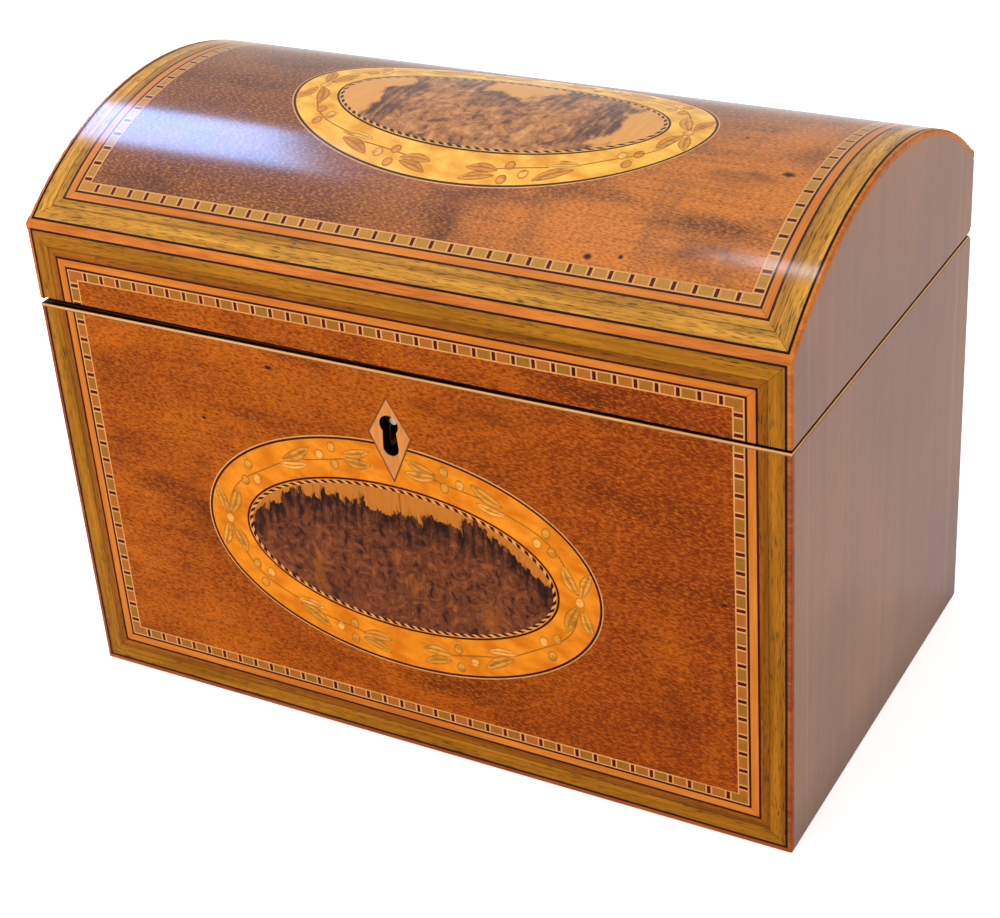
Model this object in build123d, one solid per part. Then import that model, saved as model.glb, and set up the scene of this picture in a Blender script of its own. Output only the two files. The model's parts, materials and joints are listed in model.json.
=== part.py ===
from build123d import *
import math
import os

# Outer sizes of the caddy in millimetres; the floor is z = 0 and the front faces -Y
width = 200.0
depth = 117.6
case_height = 108.2
lid_side_height = 21.6
dome_rise = 22.0

# Carcass boards, the skin of veneer over them and the baize underneath
veneer = 1.5
board = 8.0
base_thickness = 7.0
dome_panel = 7.0
baize = 0.6
baize_inset = 2.0
lid_gap = 0.3
shadow_gap_left = 1.5
shadow_gap_right = 0.8
arris_round = 0.45
glue_fit = 0.02

# Inlaid border, named from the corner string inwards
outer_line = 0.55
crossband_outer = 3.5
crossband_inner = 2.0
ebony_line = 0.5
boxwood_string = 2.0
holly_line = 0.35
dentil_width = 2.15
dentil_pitch = 4.95
dentil_tooth = 0.75
rim_string = 0.8

# Oval medallions: half lengths along and across the face, and widths of their rings
oval_half_length = 55.3
oval_half_height = 32.2
oval_holly = 0.35
oval_ebony = 0.45
oval_ring = 10.7
oval_inner_line = 0.5
rope_width = 1.1
front_oval_shift = -1.4
dome_oval_shift = 3.0
dome_oval_forward = 2.5

# Lozenge escutcheon and its keyhole
lozenge_half_width = 5.95
lozenge_top = 10.2
lozenge_bottom = 12.9
lozenge_below_rim = 16.75
lozenge_foot_margin = 0.85
keyhole_radius = 2.55
keyhole_below_rim = 14.1
keyhole_slot_top = 3.5
keyhole_slot_bottom = 4.3
keyhole_length = 10.8
bored_clearance = 0.3

# Box lock let into the front board
lock_plate_width = 44.0
lock_plate_height = 24.0
lock_plate = 1.2
lock_case_width = 32.0
lock_case_height = 20.6
lock_case_depth = 4.8
lock_wall = 0.8
selvedge_depth = 7.0
drill_pin_radius = 0.95
drill_pin_length = 6.2
bolt_thickness = 1.2
bolt_bar_height = 3.2
bolt_clearance = 0.3
talon_radius = 1.9
bolt_throw = 3.6
finger_height = 2.0
finger_entry = 0.6
riser_width = 1.5
staple_spacing = 16.0
staple_thickness = 1.6
staple_width = 3.0
staple_drop = 8.0
staple_foot = 1.2
staple_clearance = 0.6
eye_width = 1.6
eye_height = 2.8
stud_radius = 0.6
stud_clearance = 0.05

# Butt hinges and the bevel behind them that stops the open lid
hinge_spacing = 116.0
hinge_length = 32.0
leaf_screw_count = 3
leaf_thickness = 1.2
knuckle_radius = 1.5
hinge_inset = 1.6
hinge_pin_radius = 0.5
running_clearance = 0.05
knuckle_clearance = 0.12
leaf_margin = 0.4
open_angle = 95.0
stop_clearance = 1.0

# Countersunk screws
screw_head_radius = 1.6
screw_shank_radius = 0.8
screw_length = 5.5
screw_edge = 5.0
countersink_angle = 45.0

# Fittings inside the case
lid_well = 11.0
divider = 6.0
liner_wall = 2.0
liner_fit = 0.1
inner_lid = 4.0
inner_lid_clearance = 0.5
inner_lid_seat = 0.1
inner_lid_plug = 1.6
plug_clearance = 0.6
knob_radius = 5.0
knob_height = 10.5
knob_neck_radius = 2.0
knob_foot_radius = 4.2
knob_foot_edge = 0.8
knob_neck_height = 3.4
knob_ball_height = 7.2
knob_peg_radius = 1.9
knob_foot_slope = 0.1

# Planes that everything lines up with
x_out = width / 2
x_skin = x_out - veneer
x_board = x_skin - board
y_out = depth / 2
y_skin = y_out - veneer
y_board = y_skin - board
z_wood = baize
z_floor = baize + base_thickness
z_rim = case_height
z_string = z_rim - rim_string
z_lid = z_rim + lid_gap
z_arris = z_rim + lid_side_height
z_front_top = z_arris - veneer
z_top = z_arris + dome_rise

# Circle of the dome, centred over the middle of the depth
dome_radius = (y_out**2 + dome_rise**2) / (2 * dome_rise)
dome_axis = z_top - dome_radius
panel_radius = dome_radius - veneer
lining_radius = panel_radius - dome_panel
arc_skin = dome_radius * math.asin(y_skin / dome_radius)

# Bands of the border with the wood of each, and their total width
bands = [
    ("black_lines", outer_line),
    ("crossbanding", crossband_outer),
    ("crossbanding", crossband_inner),
    ("black_lines", ebony_line),
    ("boxwood_stringing", boxwood_string),
    ("black_lines", ebony_line),
    ("holly_lines", holly_line),
    ("dentil", dentil_width),
    ("holly_lines", holly_line),
]
border = sum(band_width for _, band_width in bands)

# Hinge axis, on the joint between case and lid
axis_y = y_out - hinge_inset
axis_z = z_rim + lid_gap / 2

# Lock places: the inner face of the front board, the key's height and the staples' eyes
lock_face = -y_board
key_z = z_rim - keyhole_below_rim
lozenge_z = z_rim - lozenge_below_rim
lozenge_foot = lozenge_z - lozenge_bottom
bolt_y = lock_face - lock_plate - (lock_case_depth - lock_wall) / 2
staple_z = z_lid - staple_drop
eye_z = staple_z + staple_foot + eye_height / 2
bar_top = staple_z - bolt_clearance
bar_bottom = bar_top - bolt_bar_height
lock_case_back = lock_face - lock_plate - lock_case_depth
lock_screw_x = (lock_plate_width + lock_case_width) / 4
liner_top = z_rim - lid_well

# Height of the front oval: the escutcheon's foot stops just short of the ring's inner line
oval_inner_edge = oval_holly + oval_ebony + oval_ring
front_oval_height = lozenge_foot + oval_inner_edge - lozenge_foot_margin - oval_half_height


def block(x0, x1, y0, y1, z0, z1):
    """Solid box between two opposite corners."""
    middle = ((x0 + x1) / 2, (y0 + y1) / 2, (z0 + z1) / 2)
    return Pos(*middle) * Box(abs(x1 - x0), abs(y1 - y0), abs(z1 - z0))


def rod(radius, start, end):
    """Round bar between two points."""
    path = Vector(*end) - Vector(*start)
    return extrude(Plane(origin=start, z_dir=path) * Circle(radius), path.length)


def barrel(radius, x0=-x_out, x1=x_out):
    """Round bar along the axis of the dome."""
    return rod(radius, (x0, 0, dome_axis), (x1, 0, dome_axis))


def prism(points, plane, amount):
    """Polygon of points on a plane, drawn out by an amount."""
    return extrude(plane * make_face(Polyline(*points, close=True)), amount)


front_plane = Plane(origin=(0, -y_out, 0), x_dir=(1, 0, 0), z_dir=(0, -1, 0))
side_plane = Plane(origin=(-x_out, 0, 0), x_dir=(0, 1, 0), z_dir=(1, 0, 0))
dome_outside = barrel(dome_radius)
dome_inside = barrel(panel_radius)

# Material cut from case and lid behind the hinge axis, so that their bevels meet when open
bevel_reach = 2 * hinge_inset
bevel_rise = bevel_reach * math.tan(math.radians(open_angle / 2 + stop_clearance))
rear_bevel = prism(
    [
        (axis_y, axis_z),
        (axis_y + bevel_reach, axis_z - bevel_rise),
        (axis_y + bevel_reach, axis_z + bevel_rise),
    ],
    side_plane,
    width,
)

# Slight wedge under the lid's skin, wider at the left, as the lid has warped
shadow_wedge = prism(
    [
        (-x_out, z_rim),
        (x_out, z_rim),
        (x_out, z_rim + shadow_gap_right),
        (-x_out, z_rim + shadow_gap_left),
    ],
    front_plane,
    -depth,
)


def front_skin(outline):
    """Piece of the front's veneer layer, from an outline in x and z."""
    return extrude(front_plane * outline, -veneer)


def dome_skin(outline):
    """Piece of the dome's veneer layer, from an outline in x and y seen from above."""
    return (extrude(Plane.XY.offset(z_rim) * outline, z_top - z_rim) & dome_outside) - dome_inside


def plan_y(arc):
    """Depth at an arc length over the dome, measured from its middle."""
    return dome_radius * math.sin(arc / dome_radius)


def strip(side, rect, start, end, open_side):
    """Corners of one mitred strip of a border, between two offsets from a rectangle."""
    u0, u1, v0, v1 = rect
    ends = []
    for offset in (start, end):
        low = v0 + (0 if open_side == "bottom" else offset)
        high = v1 - (0 if open_side == "top" else offset)
        ends.append((u0 + offset, u1 - offset, low, high))
    (a0, a1, b0, b1), (c0, c1, d0, d1) = ends
    corners = {
        "left": [(a0, b0), (c0, d0), (c0, d1), (a0, b1)],
        "right": [(a1, b0), (c1, d0), (c1, d1), (a1, b1)],
        "bottom": [(a0, b0), (a1, b0), (c1, d0), (c0, d0)],
        "top": [(a0, b1), (a1, b1), (c1, d1), (c0, d1)],
    }
    return corners[side]


def teeth_outlines(side, rect, start, end, open_side):
    """Outlines of the dark teeth of one dentil strip, evenly spaced about its middle."""
    u0, u1, v0, v1 = rect
    upright = side in ("left", "right")
    low = v0 + (0 if open_side == "bottom" else end)
    high = v1 - (0 if open_side == "top" else end)
    first, last = (low, high) if upright else (u0 + end, u1 - end)
    count = int((last - first - dentil_tooth) // dentil_pitch) + 1
    lead = (last - first - (count - 1) * dentil_pitch) / 2
    outlines = []
    for number in range(count):
        middle = first + lead + number * dentil_pitch
        before, after = middle - dentil_tooth / 2, middle + dentil_tooth / 2
        if upright:
            edge = u0 + start if side == "left" else u1 - end
            outlines.append((edge, edge + end - start, before, after))
        else:
            edge = v0 + start if side == "bottom" else v1 - end
            outlines.append((before, after, edge, edge + end - start))
    return outlines


def inlaid_border(rect, sides, open_side, make_skin, to_face):
    """Every strip of the inlaid border round a rectangle, sorted by kind."""
    pieces = {}
    offset = 0.0
    for kind, band_width in bands:
        end = offset + band_width
        for side in sides:
            corners = [to_face(*point) for point in strip(side, rect, offset, end, open_side)]
            solid = make_skin(make_face(Polyline(*corners, close=True)))
            if kind == "dentil":
                teeth = []
                for u0, u1, v0, v1 in teeth_outlines(side, rect, offset, end, open_side):
                    tooth = [to_face(*p) for p in ((u0, v0), (u1, v0), (u1, v1), (u0, v1))]
                    teeth.append(make_skin(make_face(Polyline(*tooth, close=True))))
                pieces.setdefault("dentil_teeth", []).extend(teeth)
                solid = solid.cut(*teeth)
                kind_name = "dentil_blocks"
            else:
                kind_name = kind
            pieces.setdefault(kind_name, []).extend(solid.solids())
        offset = end
    return pieces


def lozenge():
    """Outline of the escutcheon, its widest point above the middle."""
    tip = (0, lozenge_z + lozenge_top)
    foot = (0, lozenge_foot)
    points = [tip, (lozenge_half_width, lozenge_z), foot, (-lozenge_half_width, lozenge_z)]
    return make_face(Polyline(*points, close=True))


def keyhole(grow=0.0):
    """Outline of the keyhole: a round head over a slot that widens to a rounded foot."""
    foot = keyhole_slot_bottom / 2 + grow
    neck = keyhole_slot_top / 2 + grow
    foot_z = key_z + keyhole_radius - keyhole_length + keyhole_slot_bottom / 2
    corners = [(-neck, key_z), (neck, key_z), (foot, foot_z), (-foot, foot_z)]
    slot = make_face(Polyline(*corners, close=True))
    return Pos(0, key_z) * Circle(keyhole_radius + grow) + slot + Pos(0, foot_z) * Circle(foot)


def oval(middle, shrink, flatten=1.0):
    """Ellipse of a medallion, drawn in from its outer edge."""
    return Pos(*middle) * Ellipse(oval_half_length - shrink, (oval_half_height - shrink) * flatten)


def medallion(middle, make_skin, flatten=1.0):
    """Rings and burr of an oval medallion, each a separate piece, outermost first."""
    rings = [
        ("holly", oval_holly),
        ("ebony", oval_ebony),
        ("ring", oval_ring),
        ("inner_line", oval_inner_line),
        ("rope", rope_width),
    ]
    pieces = {}
    shrink = 0.0
    for name, ring_width in rings:
        outline = oval(middle, shrink, flatten) - oval(middle, shrink + ring_width, flatten)
        pieces[name] = make_skin(outline)
        shrink += ring_width
    pieces["burr"] = make_skin(oval(middle, shrink, flatten))
    return pieces


def screw(point, inward):
    """Countersunk screw whose head is flush at a point and whose shank goes inward."""
    base = Plane(origin=point, z_dir=inward)
    head_depth = screw_head_radius - screw_shank_radius
    head = extrude(base * Circle(screw_head_radius), head_depth, taper=countersink_angle)
    shank = extrude(base * Circle(screw_shank_radius), screw_length)
    return head + shank


def screw_hole(point, inward):
    """Hole for a screw, larger all round by the glue fit."""
    base = Plane(origin=point, z_dir=inward)
    head_depth = screw_head_radius - screw_shank_radius
    head = extrude(base * Circle(screw_head_radius + glue_fit), head_depth, taper=countersink_angle)
    shank = extrude(base * Circle(screw_shank_radius + glue_fit), screw_length + glue_fit)
    return head + shank


def hinge_centres():
    """Places of the two hinges along the back."""
    return (-hinge_spacing / 2, hinge_spacing / 2)


def leaf_screws(face_z, inward):
    """Places and directions of the screws in both hinges' leaves, on one face."""
    across = (y_board + axis_y - knuckle_radius) / 2
    gaps = leaf_screw_count - 1
    pitch = (hinge_length - 2 * screw_edge) / gaps
    spots = []
    for centre in hinge_centres():
        for number in range(leaf_screw_count):
            along = centre + (number - gaps / 2) * pitch
            spots.append(((along, across, face_z), (0, 0, inward)))
    return spots


case_leaf_screws = leaf_screws(z_rim, -1)
lid_leaf_screws = leaf_screws(z_lid, 1)
link_screws = [
    ((side * (lock_plate_width / 2 - screw_edge), lock_face - selvedge_depth / 2, z_lid), (0, 0, 1))
    for side in (-1, 1)
]
lock_screws = [
    ((side * lock_screw_x, lock_face, z_rim - drop), (0, -1, 0))
    for side in (-1, 1)
    for drop in (screw_edge, lock_plate_height - screw_edge)
]


def knuckles(radius, spans):
    """Round barrels about the hinge axis, over several spans of one hinge."""
    return [rod(radius, (x0, axis_y, axis_z), (x1, axis_y, axis_z)) for x0, x1 in spans]


def knuckle_spans(centre, lid):
    """The lid has the middle third of a hinge's barrel and the case the two outer thirds."""
    third = hinge_length / 3
    low = centre - hinge_length / 2
    gap = running_clearance
    if lid:
        return [(low + third + gap, low + 2 * third - gap)]
    return [(low, low + third - gap), (low + 2 * third + gap, low + hinge_length)]


def hinge_leaf(centre, lid):
    """One leaf: a flat plate in its rebate, its share of the barrel and its screw holes."""
    z0, z1 = (z_lid, z_lid + leaf_thickness) if lid else (z_rim - leaf_thickness, z_rim)
    half = hinge_length / 2
    leaf = block(centre - half, centre + half, y_board + leaf_margin, axis_y, z0, z1)
    for other in knuckles(knuckle_radius + knuckle_clearance, knuckle_spans(centre, not lid)):
        leaf -= other
    for own in knuckles(knuckle_radius, knuckle_spans(centre, lid)):
        leaf += own
    bore = hinge_pin_radius + running_clearance
    leaf -= knuckles(bore, [(centre - half, centre + half)])[0]
    for spot in lid_leaf_screws if lid else case_leaf_screws:
        leaf -= screw_hole(*spot)
    return leaf


def hinge_rebate(centre, lid):
    """Room for one leaf and the whole barrel, cut from the board and the veneer behind it."""
    z0, z1 = (z_lid, z_lid + leaf_thickness) if lid else (z_rim - leaf_thickness, z_rim)
    half = hinge_length / 2
    flat = block(centre - half, centre + half, y_board + leaf_margin, axis_y, z0, z1)
    spans = [(centre - half - knuckle_clearance, centre + half + knuckle_clearance)]
    return flat + knuckles(knuckle_radius + knuckle_clearance, spans)[0]


def lock_mortise():
    """Room in the front board for the lock, with the keyhole bored through to it."""
    half_plate = lock_plate_width / 2
    half_case = lock_case_width / 2
    plate_foot = z_rim - lock_plate_height
    selvedge_foot = z_rim - lock_plate
    case_foot = selvedge_foot - lock_case_height
    plate = block(-half_plate, half_plate, lock_face - lock_plate, lock_face, plate_foot, z_rim)
    selvedge = block(-half_plate, half_plate, lock_face - selvedge_depth, lock_face, selvedge_foot, z_rim)
    case = block(-half_case, half_case, lock_case_back, lock_face, case_foot, z_rim)
    bored = extrude(front_plane * keyhole(bored_clearance), -(veneer + board))
    return plate + selvedge + case + bored


def carcass_case():
    """Five boards of the case: front and back run the full width, the sides stand between."""
    front = block(-x_skin, x_skin, -y_skin, -y_board, z_floor, z_rim) - lock_mortise()
    for spot in lock_screws:
        front -= screw_hole(*spot)
    back = block(-x_skin, x_skin, y_board, y_skin, z_floor, z_rim) - rear_bevel
    for centre in hinge_centres():
        back -= hinge_rebate(centre, lid=False)
    for spot in case_leaf_screws:
        back -= screw_hole(*spot)
    return {
        "front_board": front,
        "back_board": back,
        "left_board": block(-x_skin, -x_board, -y_board, y_board, z_floor, z_rim),
        "right_board": block(x_board, x_skin, -y_board, y_board, z_floor, z_rim),
        "base_board": block(-x_skin, x_skin, -y_skin, y_skin, z_wood, z_floor),
    }


def base_baize():
    """Sheet of baize glued under the base."""
    inset = baize_inset
    return block(-x_out + inset, x_out - inset, -y_out + inset, y_out - inset, 0, baize)


def carcass_lid():
    """Four low boards of the lid and the curved panel that they carry."""
    inside = barrel(lining_radius)
    front = block(-x_skin, x_skin, -y_skin, -y_board, z_lid, z_top) & inside
    half = lock_plate_width / 2
    front -= block(-half, half, lock_face - selvedge_depth, lock_face, z_lid, z_lid + lock_plate)
    for spot in link_screws:
        front -= screw_hole(*spot)
    back = (block(-x_skin, x_skin, y_board, y_skin, z_lid, z_top) & inside) - rear_bevel
    for centre in hinge_centres():
        back -= hinge_rebate(centre, lid=True)
    for spot in lid_leaf_screws:
        back -= screw_hole(*spot)
    panel = barrel(panel_radius, -x_skin, x_skin) - barrel(lining_radius)
    return {
        "lid_front_board": front,
        "lid_back_board": back,
        "lid_left_end": block(-x_skin, -x_board, -y_board, y_board, z_lid, z_top) & inside,
        "lid_right_end": block(x_board, x_skin, -y_board, y_board, z_lid, z_top) & inside,
        "lid_dome_panel": panel & block(-x_skin, x_skin, -y_skin, y_skin, z_lid, z_top),
    }


def rounded(solid, middle_of_edge):
    """Worn arris: the edge nearest a point is rounded over."""
    edge = solid.edges().sort_by_distance(middle_of_edge)[0]
    return fillet(edge, arris_round)


def case_corner_strings():
    """Boxwood strings in the front corners of the case and along the foot of its front."""
    foot = block(-x_skin, x_skin, -y_out, -y_skin, z_wood, z_wood + veneer)
    pieces = [foot]
    for side in (-1, 1):
        upright = block(side * x_skin, side * x_out, -y_out, -y_skin, z_wood, z_string)
        pieces.append(rounded(upright, (side * x_out, -y_out, (z_wood + z_string) / 2)))
    return pieces


def rim_strings():
    """Thin light string let into the top edge of the case at the front and sides."""
    front = block(-x_out, x_out, -y_out, -y_skin, z_string, z_rim)
    sides = [
        block(side * x_skin, side * x_out, -y_skin, y_out, z_string, z_rim) - rear_bevel for side in (-1, 1)
    ]
    return [front] + sides


def lid_corner_strings():
    """Boxwood strings in the lid's corners, along its long arrises and over its ends."""
    outside = barrel(dome_radius)
    pieces = []
    for side in (-1, 1):
        long_string = block(-x_out, x_out, side * y_skin, side * y_out, z_front_top, z_top) & outside
        pieces.append(rounded(long_string, (0, side * y_out, z_arris)))
        upright = block(side * x_skin, side * x_out, -y_out, -y_skin, z_rim, z_front_top) - shadow_wedge
        pieces.append(rounded(upright, (side * x_out, -y_out, (z_rim + z_arris) / 2)))
        arch = barrel(dome_radius, side * x_skin, side * x_out) - barrel(panel_radius)
        arch = arch & block(-x_out, x_out, -y_skin, y_skin, z_rim, z_top)
        pieces.append(rounded(arch, (side * x_out, 0, z_top)))
    return pieces


def side_veneers_case():
    """Plain veneer on both sides of the case."""
    pieces = []
    for side in (-1, 1):
        skin = block(side * x_skin, side * x_out, -y_skin, y_out, z_wood, z_string)
        pieces.append(skin - rear_bevel)
    return pieces


def back_veneer_case():
    """Plain veneer on the back of the case, cut away for the hinges' barrels."""
    skin = block(-x_skin, x_skin, y_skin, y_out, z_wood, z_rim) - rear_bevel
    for centre in hinge_centres():
        skin -= hinge_rebate(centre, lid=False)
    return skin


def side_veneers_lid(strings):
    """Veneer on the lid's ends, under the curved strings."""
    pieces = []
    for side in (-1, 1):
        skin = block(side * x_skin, side * x_out, -y_skin, y_out, z_rim, z_top) & barrel(panel_radius)
        skin = skin - rear_bevel - shadow_wedge
        for string in strings:
            skin -= string
        pieces.append(skin)
    return pieces


def back_veneer_lid():
    """Veneer on the back of the lid."""
    skin = block(-x_skin, x_skin, y_skin, y_out, z_rim, z_front_top) - rear_bevel - shadow_wedge
    for centre in hinge_centres():
        skin -= hinge_rebate(centre, lid=True)
    return skin


def flat_point(u, v):
    """Point of a border on the flat front."""
    return (u, v)


def dome_point(u, v):
    """Point of a border on the dome, seen from above."""
    return (u, plan_y(v))


def case_front():
    """Inlay of the case's front: three sided border, field, medallion and escutcheon."""
    rect = (-x_skin, x_skin, z_wood + veneer, z_string)
    pieces = inlaid_border(rect, ("left", "bottom", "right"), "top", front_skin, flat_point)
    middle = (front_oval_shift, front_oval_height)
    over = front_skin(lozenge())
    rings = medallion(middle, front_skin)
    u0, u1, v0, v1 = rect
    corners = [
        (u0 + border, v0 + border),
        (u1 - border, v0 + border),
        (u1 - border, v1),
        (u0 + border, v1),
    ]
    field = front_skin(make_face(Polyline(*corners, close=True)) - oval(middle, 0)) - over
    cut = {name: ring - over for name, ring in rings.items()}
    escutcheon = over - front_skin(keyhole())
    return pieces, field, cut, escutcheon


def lid_front():
    """Inlay of the lid's front: the border's upper part and the strip of field below it."""
    rect = (-x_skin, x_skin, z_rim, z_front_top)
    pieces = inlaid_border(rect, ("left", "top", "right"), "bottom", front_skin, flat_point)
    u0, u1, v0, v1 = rect
    corners = [
        (u0 + border, v0),
        (u1 - border, v0),
        (u1 - border, v1 - border),
        (u0 + border, v1 - border),
    ]
    field = front_skin(make_face(Polyline(*corners, close=True))) - shadow_wedge
    trimmed = {kind: [s for piece in group for s in trim(piece)] for kind, group in pieces.items()}
    return trimmed, field


def trim(piece):
    """What the shadow gap leaves of a piece of the lid's front, if anything."""
    if piece.bounding_box().min.Z > z_rim + shadow_gap_left:
        return [piece]
    return list((piece - shadow_wedge).solids())


def dome_inlay():
    """Inlay of the dome: four sided border, field and medallion, all bent to the curve."""
    rect = (-x_skin, x_skin, -arc_skin, arc_skin)
    sides = ("left", "bottom", "right", "top")
    pieces = inlaid_border(rect, sides, None, dome_skin, dome_point)
    middle = (dome_oval_shift, -dome_oval_forward)
    flatten = plan_y(oval_half_height) / oval_half_height
    rings = medallion(middle, dome_skin, flatten)
    half_v = plan_y(arc_skin - border)
    half_u = x_skin - border
    corners = [(-half_u, -half_v), (half_u, -half_v), (half_u, half_v), (-half_u, half_v)]
    field = dome_skin(make_face(Polyline(*corners, close=True)) - oval(middle, 0, flatten))
    return pieces, field, rings


def lock_plate_solid():
    """Brass back plate of the lock with its selvedge bent over the rim, slotted for the staples."""
    half = lock_plate_width / 2
    selvedge_foot = z_rim - lock_plate
    plate = block(-half, half, lock_face - lock_plate, lock_face, z_rim - lock_plate_height, z_rim)
    plate += block(-half, half, lock_face - selvedge_depth, lock_face, selvedge_foot, z_rim)
    slot_x = staple_thickness / 2 + staple_clearance
    slot_y = staple_width / 2 + staple_clearance / 2
    for side in (-1, 1):
        x0, x1 = side * staple_spacing / 2 - slot_x, side * staple_spacing / 2 + slot_x
        plate -= block(x0, x1, bolt_y - slot_y, bolt_y + slot_y, selvedge_foot, z_rim)
    for spot in lock_screws:
        plate -= screw_hole(*spot)
    return plate


def lock_case_solid():
    """Open brass box behind the plate, with the keyhole through its front wall."""
    half = lock_case_width / 2
    y0, y1 = lock_case_back, lock_face - lock_plate
    z1 = z_rim - lock_plate
    z0 = z1 - lock_case_height
    shell = block(-half, half, y0, y1, z0, z1)
    inner = half - lock_wall
    shell -= block(-inner, inner, y0 + lock_wall, y1, z0 + lock_wall, z1)
    return shell - extrude(front_plane * keyhole(bored_clearance), -(veneer + board))


def stud_places():
    """Two studs that carry the bolt, one throw apart from its ends."""
    left, right = bolt_span()
    return (left + bolt_throw + 2 * stud_radius, right - 2 * stud_radius)


def bolt_span():
    """Ends of the bolt's bar at rest, from the staples that its fingers stop short of."""
    before_staple = staple_thickness / 2 + finger_entry + bolt_throw
    right = staple_spacing / 2 - before_staple
    left = -staple_spacing / 2 - before_staple - riser_width
    return left, right


def lock_pins():
    """Steel drill pin for a hollow key, and the two studs that the bolt slides on."""
    start = lock_face - lock_plate
    pins = [rod(drill_pin_radius, (0, start, key_z), (0, start - drill_pin_length, key_z))]
    stud_z = (bar_top + bar_bottom) / 2
    for place in stud_places():
        end = bolt_y - bolt_thickness
        pins.append(rod(stud_radius, (place, start, stud_z), (place, end, stud_z)))
    return pins


def lock_bolt():
    """Sliding bolt: a slotted bar with two risers, each with a finger for a staple's eye."""
    left, right = bolt_span()
    y0, y1 = bolt_y - bolt_thickness / 2, bolt_y + bolt_thickness / 2
    bolt = block(left, right, y0, y1, bar_bottom, bar_top)
    for side in (-1, 1):
        eye = side * staple_spacing / 2
        tip = eye - staple_thickness / 2 - finger_entry
        root = right - riser_width if side > 0 else left
        bolt += block(root, root + riser_width, y0, y1, bar_top, eye_z + finger_height / 2)
        bolt += block(root, tip, y0, y1, eye_z - finger_height / 2, eye_z + finger_height / 2)
    bolt -= rod(talon_radius, (0, y0, bar_bottom), (0, y1, bar_bottom))
    stud_z = (bar_top + bar_bottom) / 2
    half = stud_radius + stud_clearance
    for place in stud_places():
        slot = block(place - bolt_throw, place, y0, y1, stud_z - half, stud_z + half)
        for end in (place - bolt_throw, place):
            slot += rod(half, (end, y0, stud_z), (end, y1, stud_z))
        bolt -= slot
    return bolt


def link_plate():
    """Brass plate let into the lid with the two staples that the bolt catches."""
    half = lock_plate_width / 2
    plate = block(-half, half, lock_face - selvedge_depth, lock_face, z_lid, z_lid + lock_plate)
    for side in (-1, 1):
        middle = side * staple_spacing / 2
        x0, x1 = middle - staple_thickness / 2, middle + staple_thickness / 2
        staple = block(x0, x1, bolt_y - staple_width / 2, bolt_y + staple_width / 2, staple_z, z_lid)
        y0, y1 = bolt_y - eye_width / 2, bolt_y + eye_width / 2
        staple -= block(x0, x1, y0, y1, eye_z - eye_height / 2, eye_z + eye_height / 2)
        plate += staple
    for spot in link_screws:
        plate -= screw_hole(*spot)
    return plate


def compartment(side):
    """Range in x of one compartment's liner; side is -1 for the left and 1 for the right."""
    return sorted((side * (divider / 2 + liner_fit), side * (x_board - liner_fit)))


def liner(side):
    """Foil-covered box that fills one compartment, open at the top."""
    x0, x1 = compartment(side)
    y1 = y_board - liner_fit
    outer = block(x0, x1, -y1, y1, z_floor, liner_top)
    wall = liner_wall
    return outer - block(x0 + wall, x1 - wall, -y1 + wall, y1 - wall, z_floor + wall, liner_top)


def inner_lid_solid(side):
    """Loose lid of one compartment, rebated so that a plug drops into the liner."""
    x0, x1 = sorted((side * inner_lid_clearance, side * (x_board - inner_lid_clearance)))
    y1 = y_board - inner_lid_clearance
    z0 = liner_top + inner_lid_seat
    top = block(x0, x1, -y1, y1, z0, z0 + inner_lid)
    a0, a1 = compartment(side)
    inset = liner_wall + plug_clearance
    b1 = y_board - liner_fit - inset
    plug = block(a0 + inset, a1 - inset, -b1, b1, z0 - inner_lid_plug, z0)
    return top + plug - rod(knob_peg_radius + glue_fit, knob_foot(side, -inner_lid), knob_foot(side, 0))


def knob_foot(side, rise):
    """Point on the axis of one knob, measured up from the top of its lid."""
    x0, x1 = compartment(side)
    return ((x0 + x1) / 2, 0, liner_top + inner_lid_seat + inner_lid + rise)


def knob(side):
    """Turned bone knob with a spread foot, a waist, a flattened ball and a peg."""
    foot = (knob_foot_radius, knob_foot_edge)
    neck = (knob_neck_radius, knob_neck_height)
    ball = (knob_radius, knob_ball_height)
    peg_end = (knob_peg_radius, -inner_lid)
    peg_root = (knob_peg_radius, 0)
    inwards = (-1, 0)
    upwards = (0, 1)
    profile = Polyline((0, -inner_lid), peg_end, peg_root, (knob_foot_radius, 0), foot)
    profile += Spline(foot, neck, ball, tangents=((-1, knob_foot_slope), upwards))
    profile += Spline(ball, (0, knob_height), tangents=(upwards, inwards))
    profile += Line((0, knob_height), (0, -inner_lid))
    turned = revolve(make_face(Plane.XZ * profile), Axis.Z)
    return Pos(*knob_foot(side, 0)) * turned


def hinge_pins():
    """Steel pins of both hinges."""
    half = hinge_length / 2
    return [
        rod(hinge_pin_radius, (centre - half, axis_y, axis_z), (centre + half, axis_y, axis_z))
        for centre in hinge_centres()
    ]


def screws(spots):
    """Screws at several places, each with its direction."""
    return [screw(*spot) for spot in spots]


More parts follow.
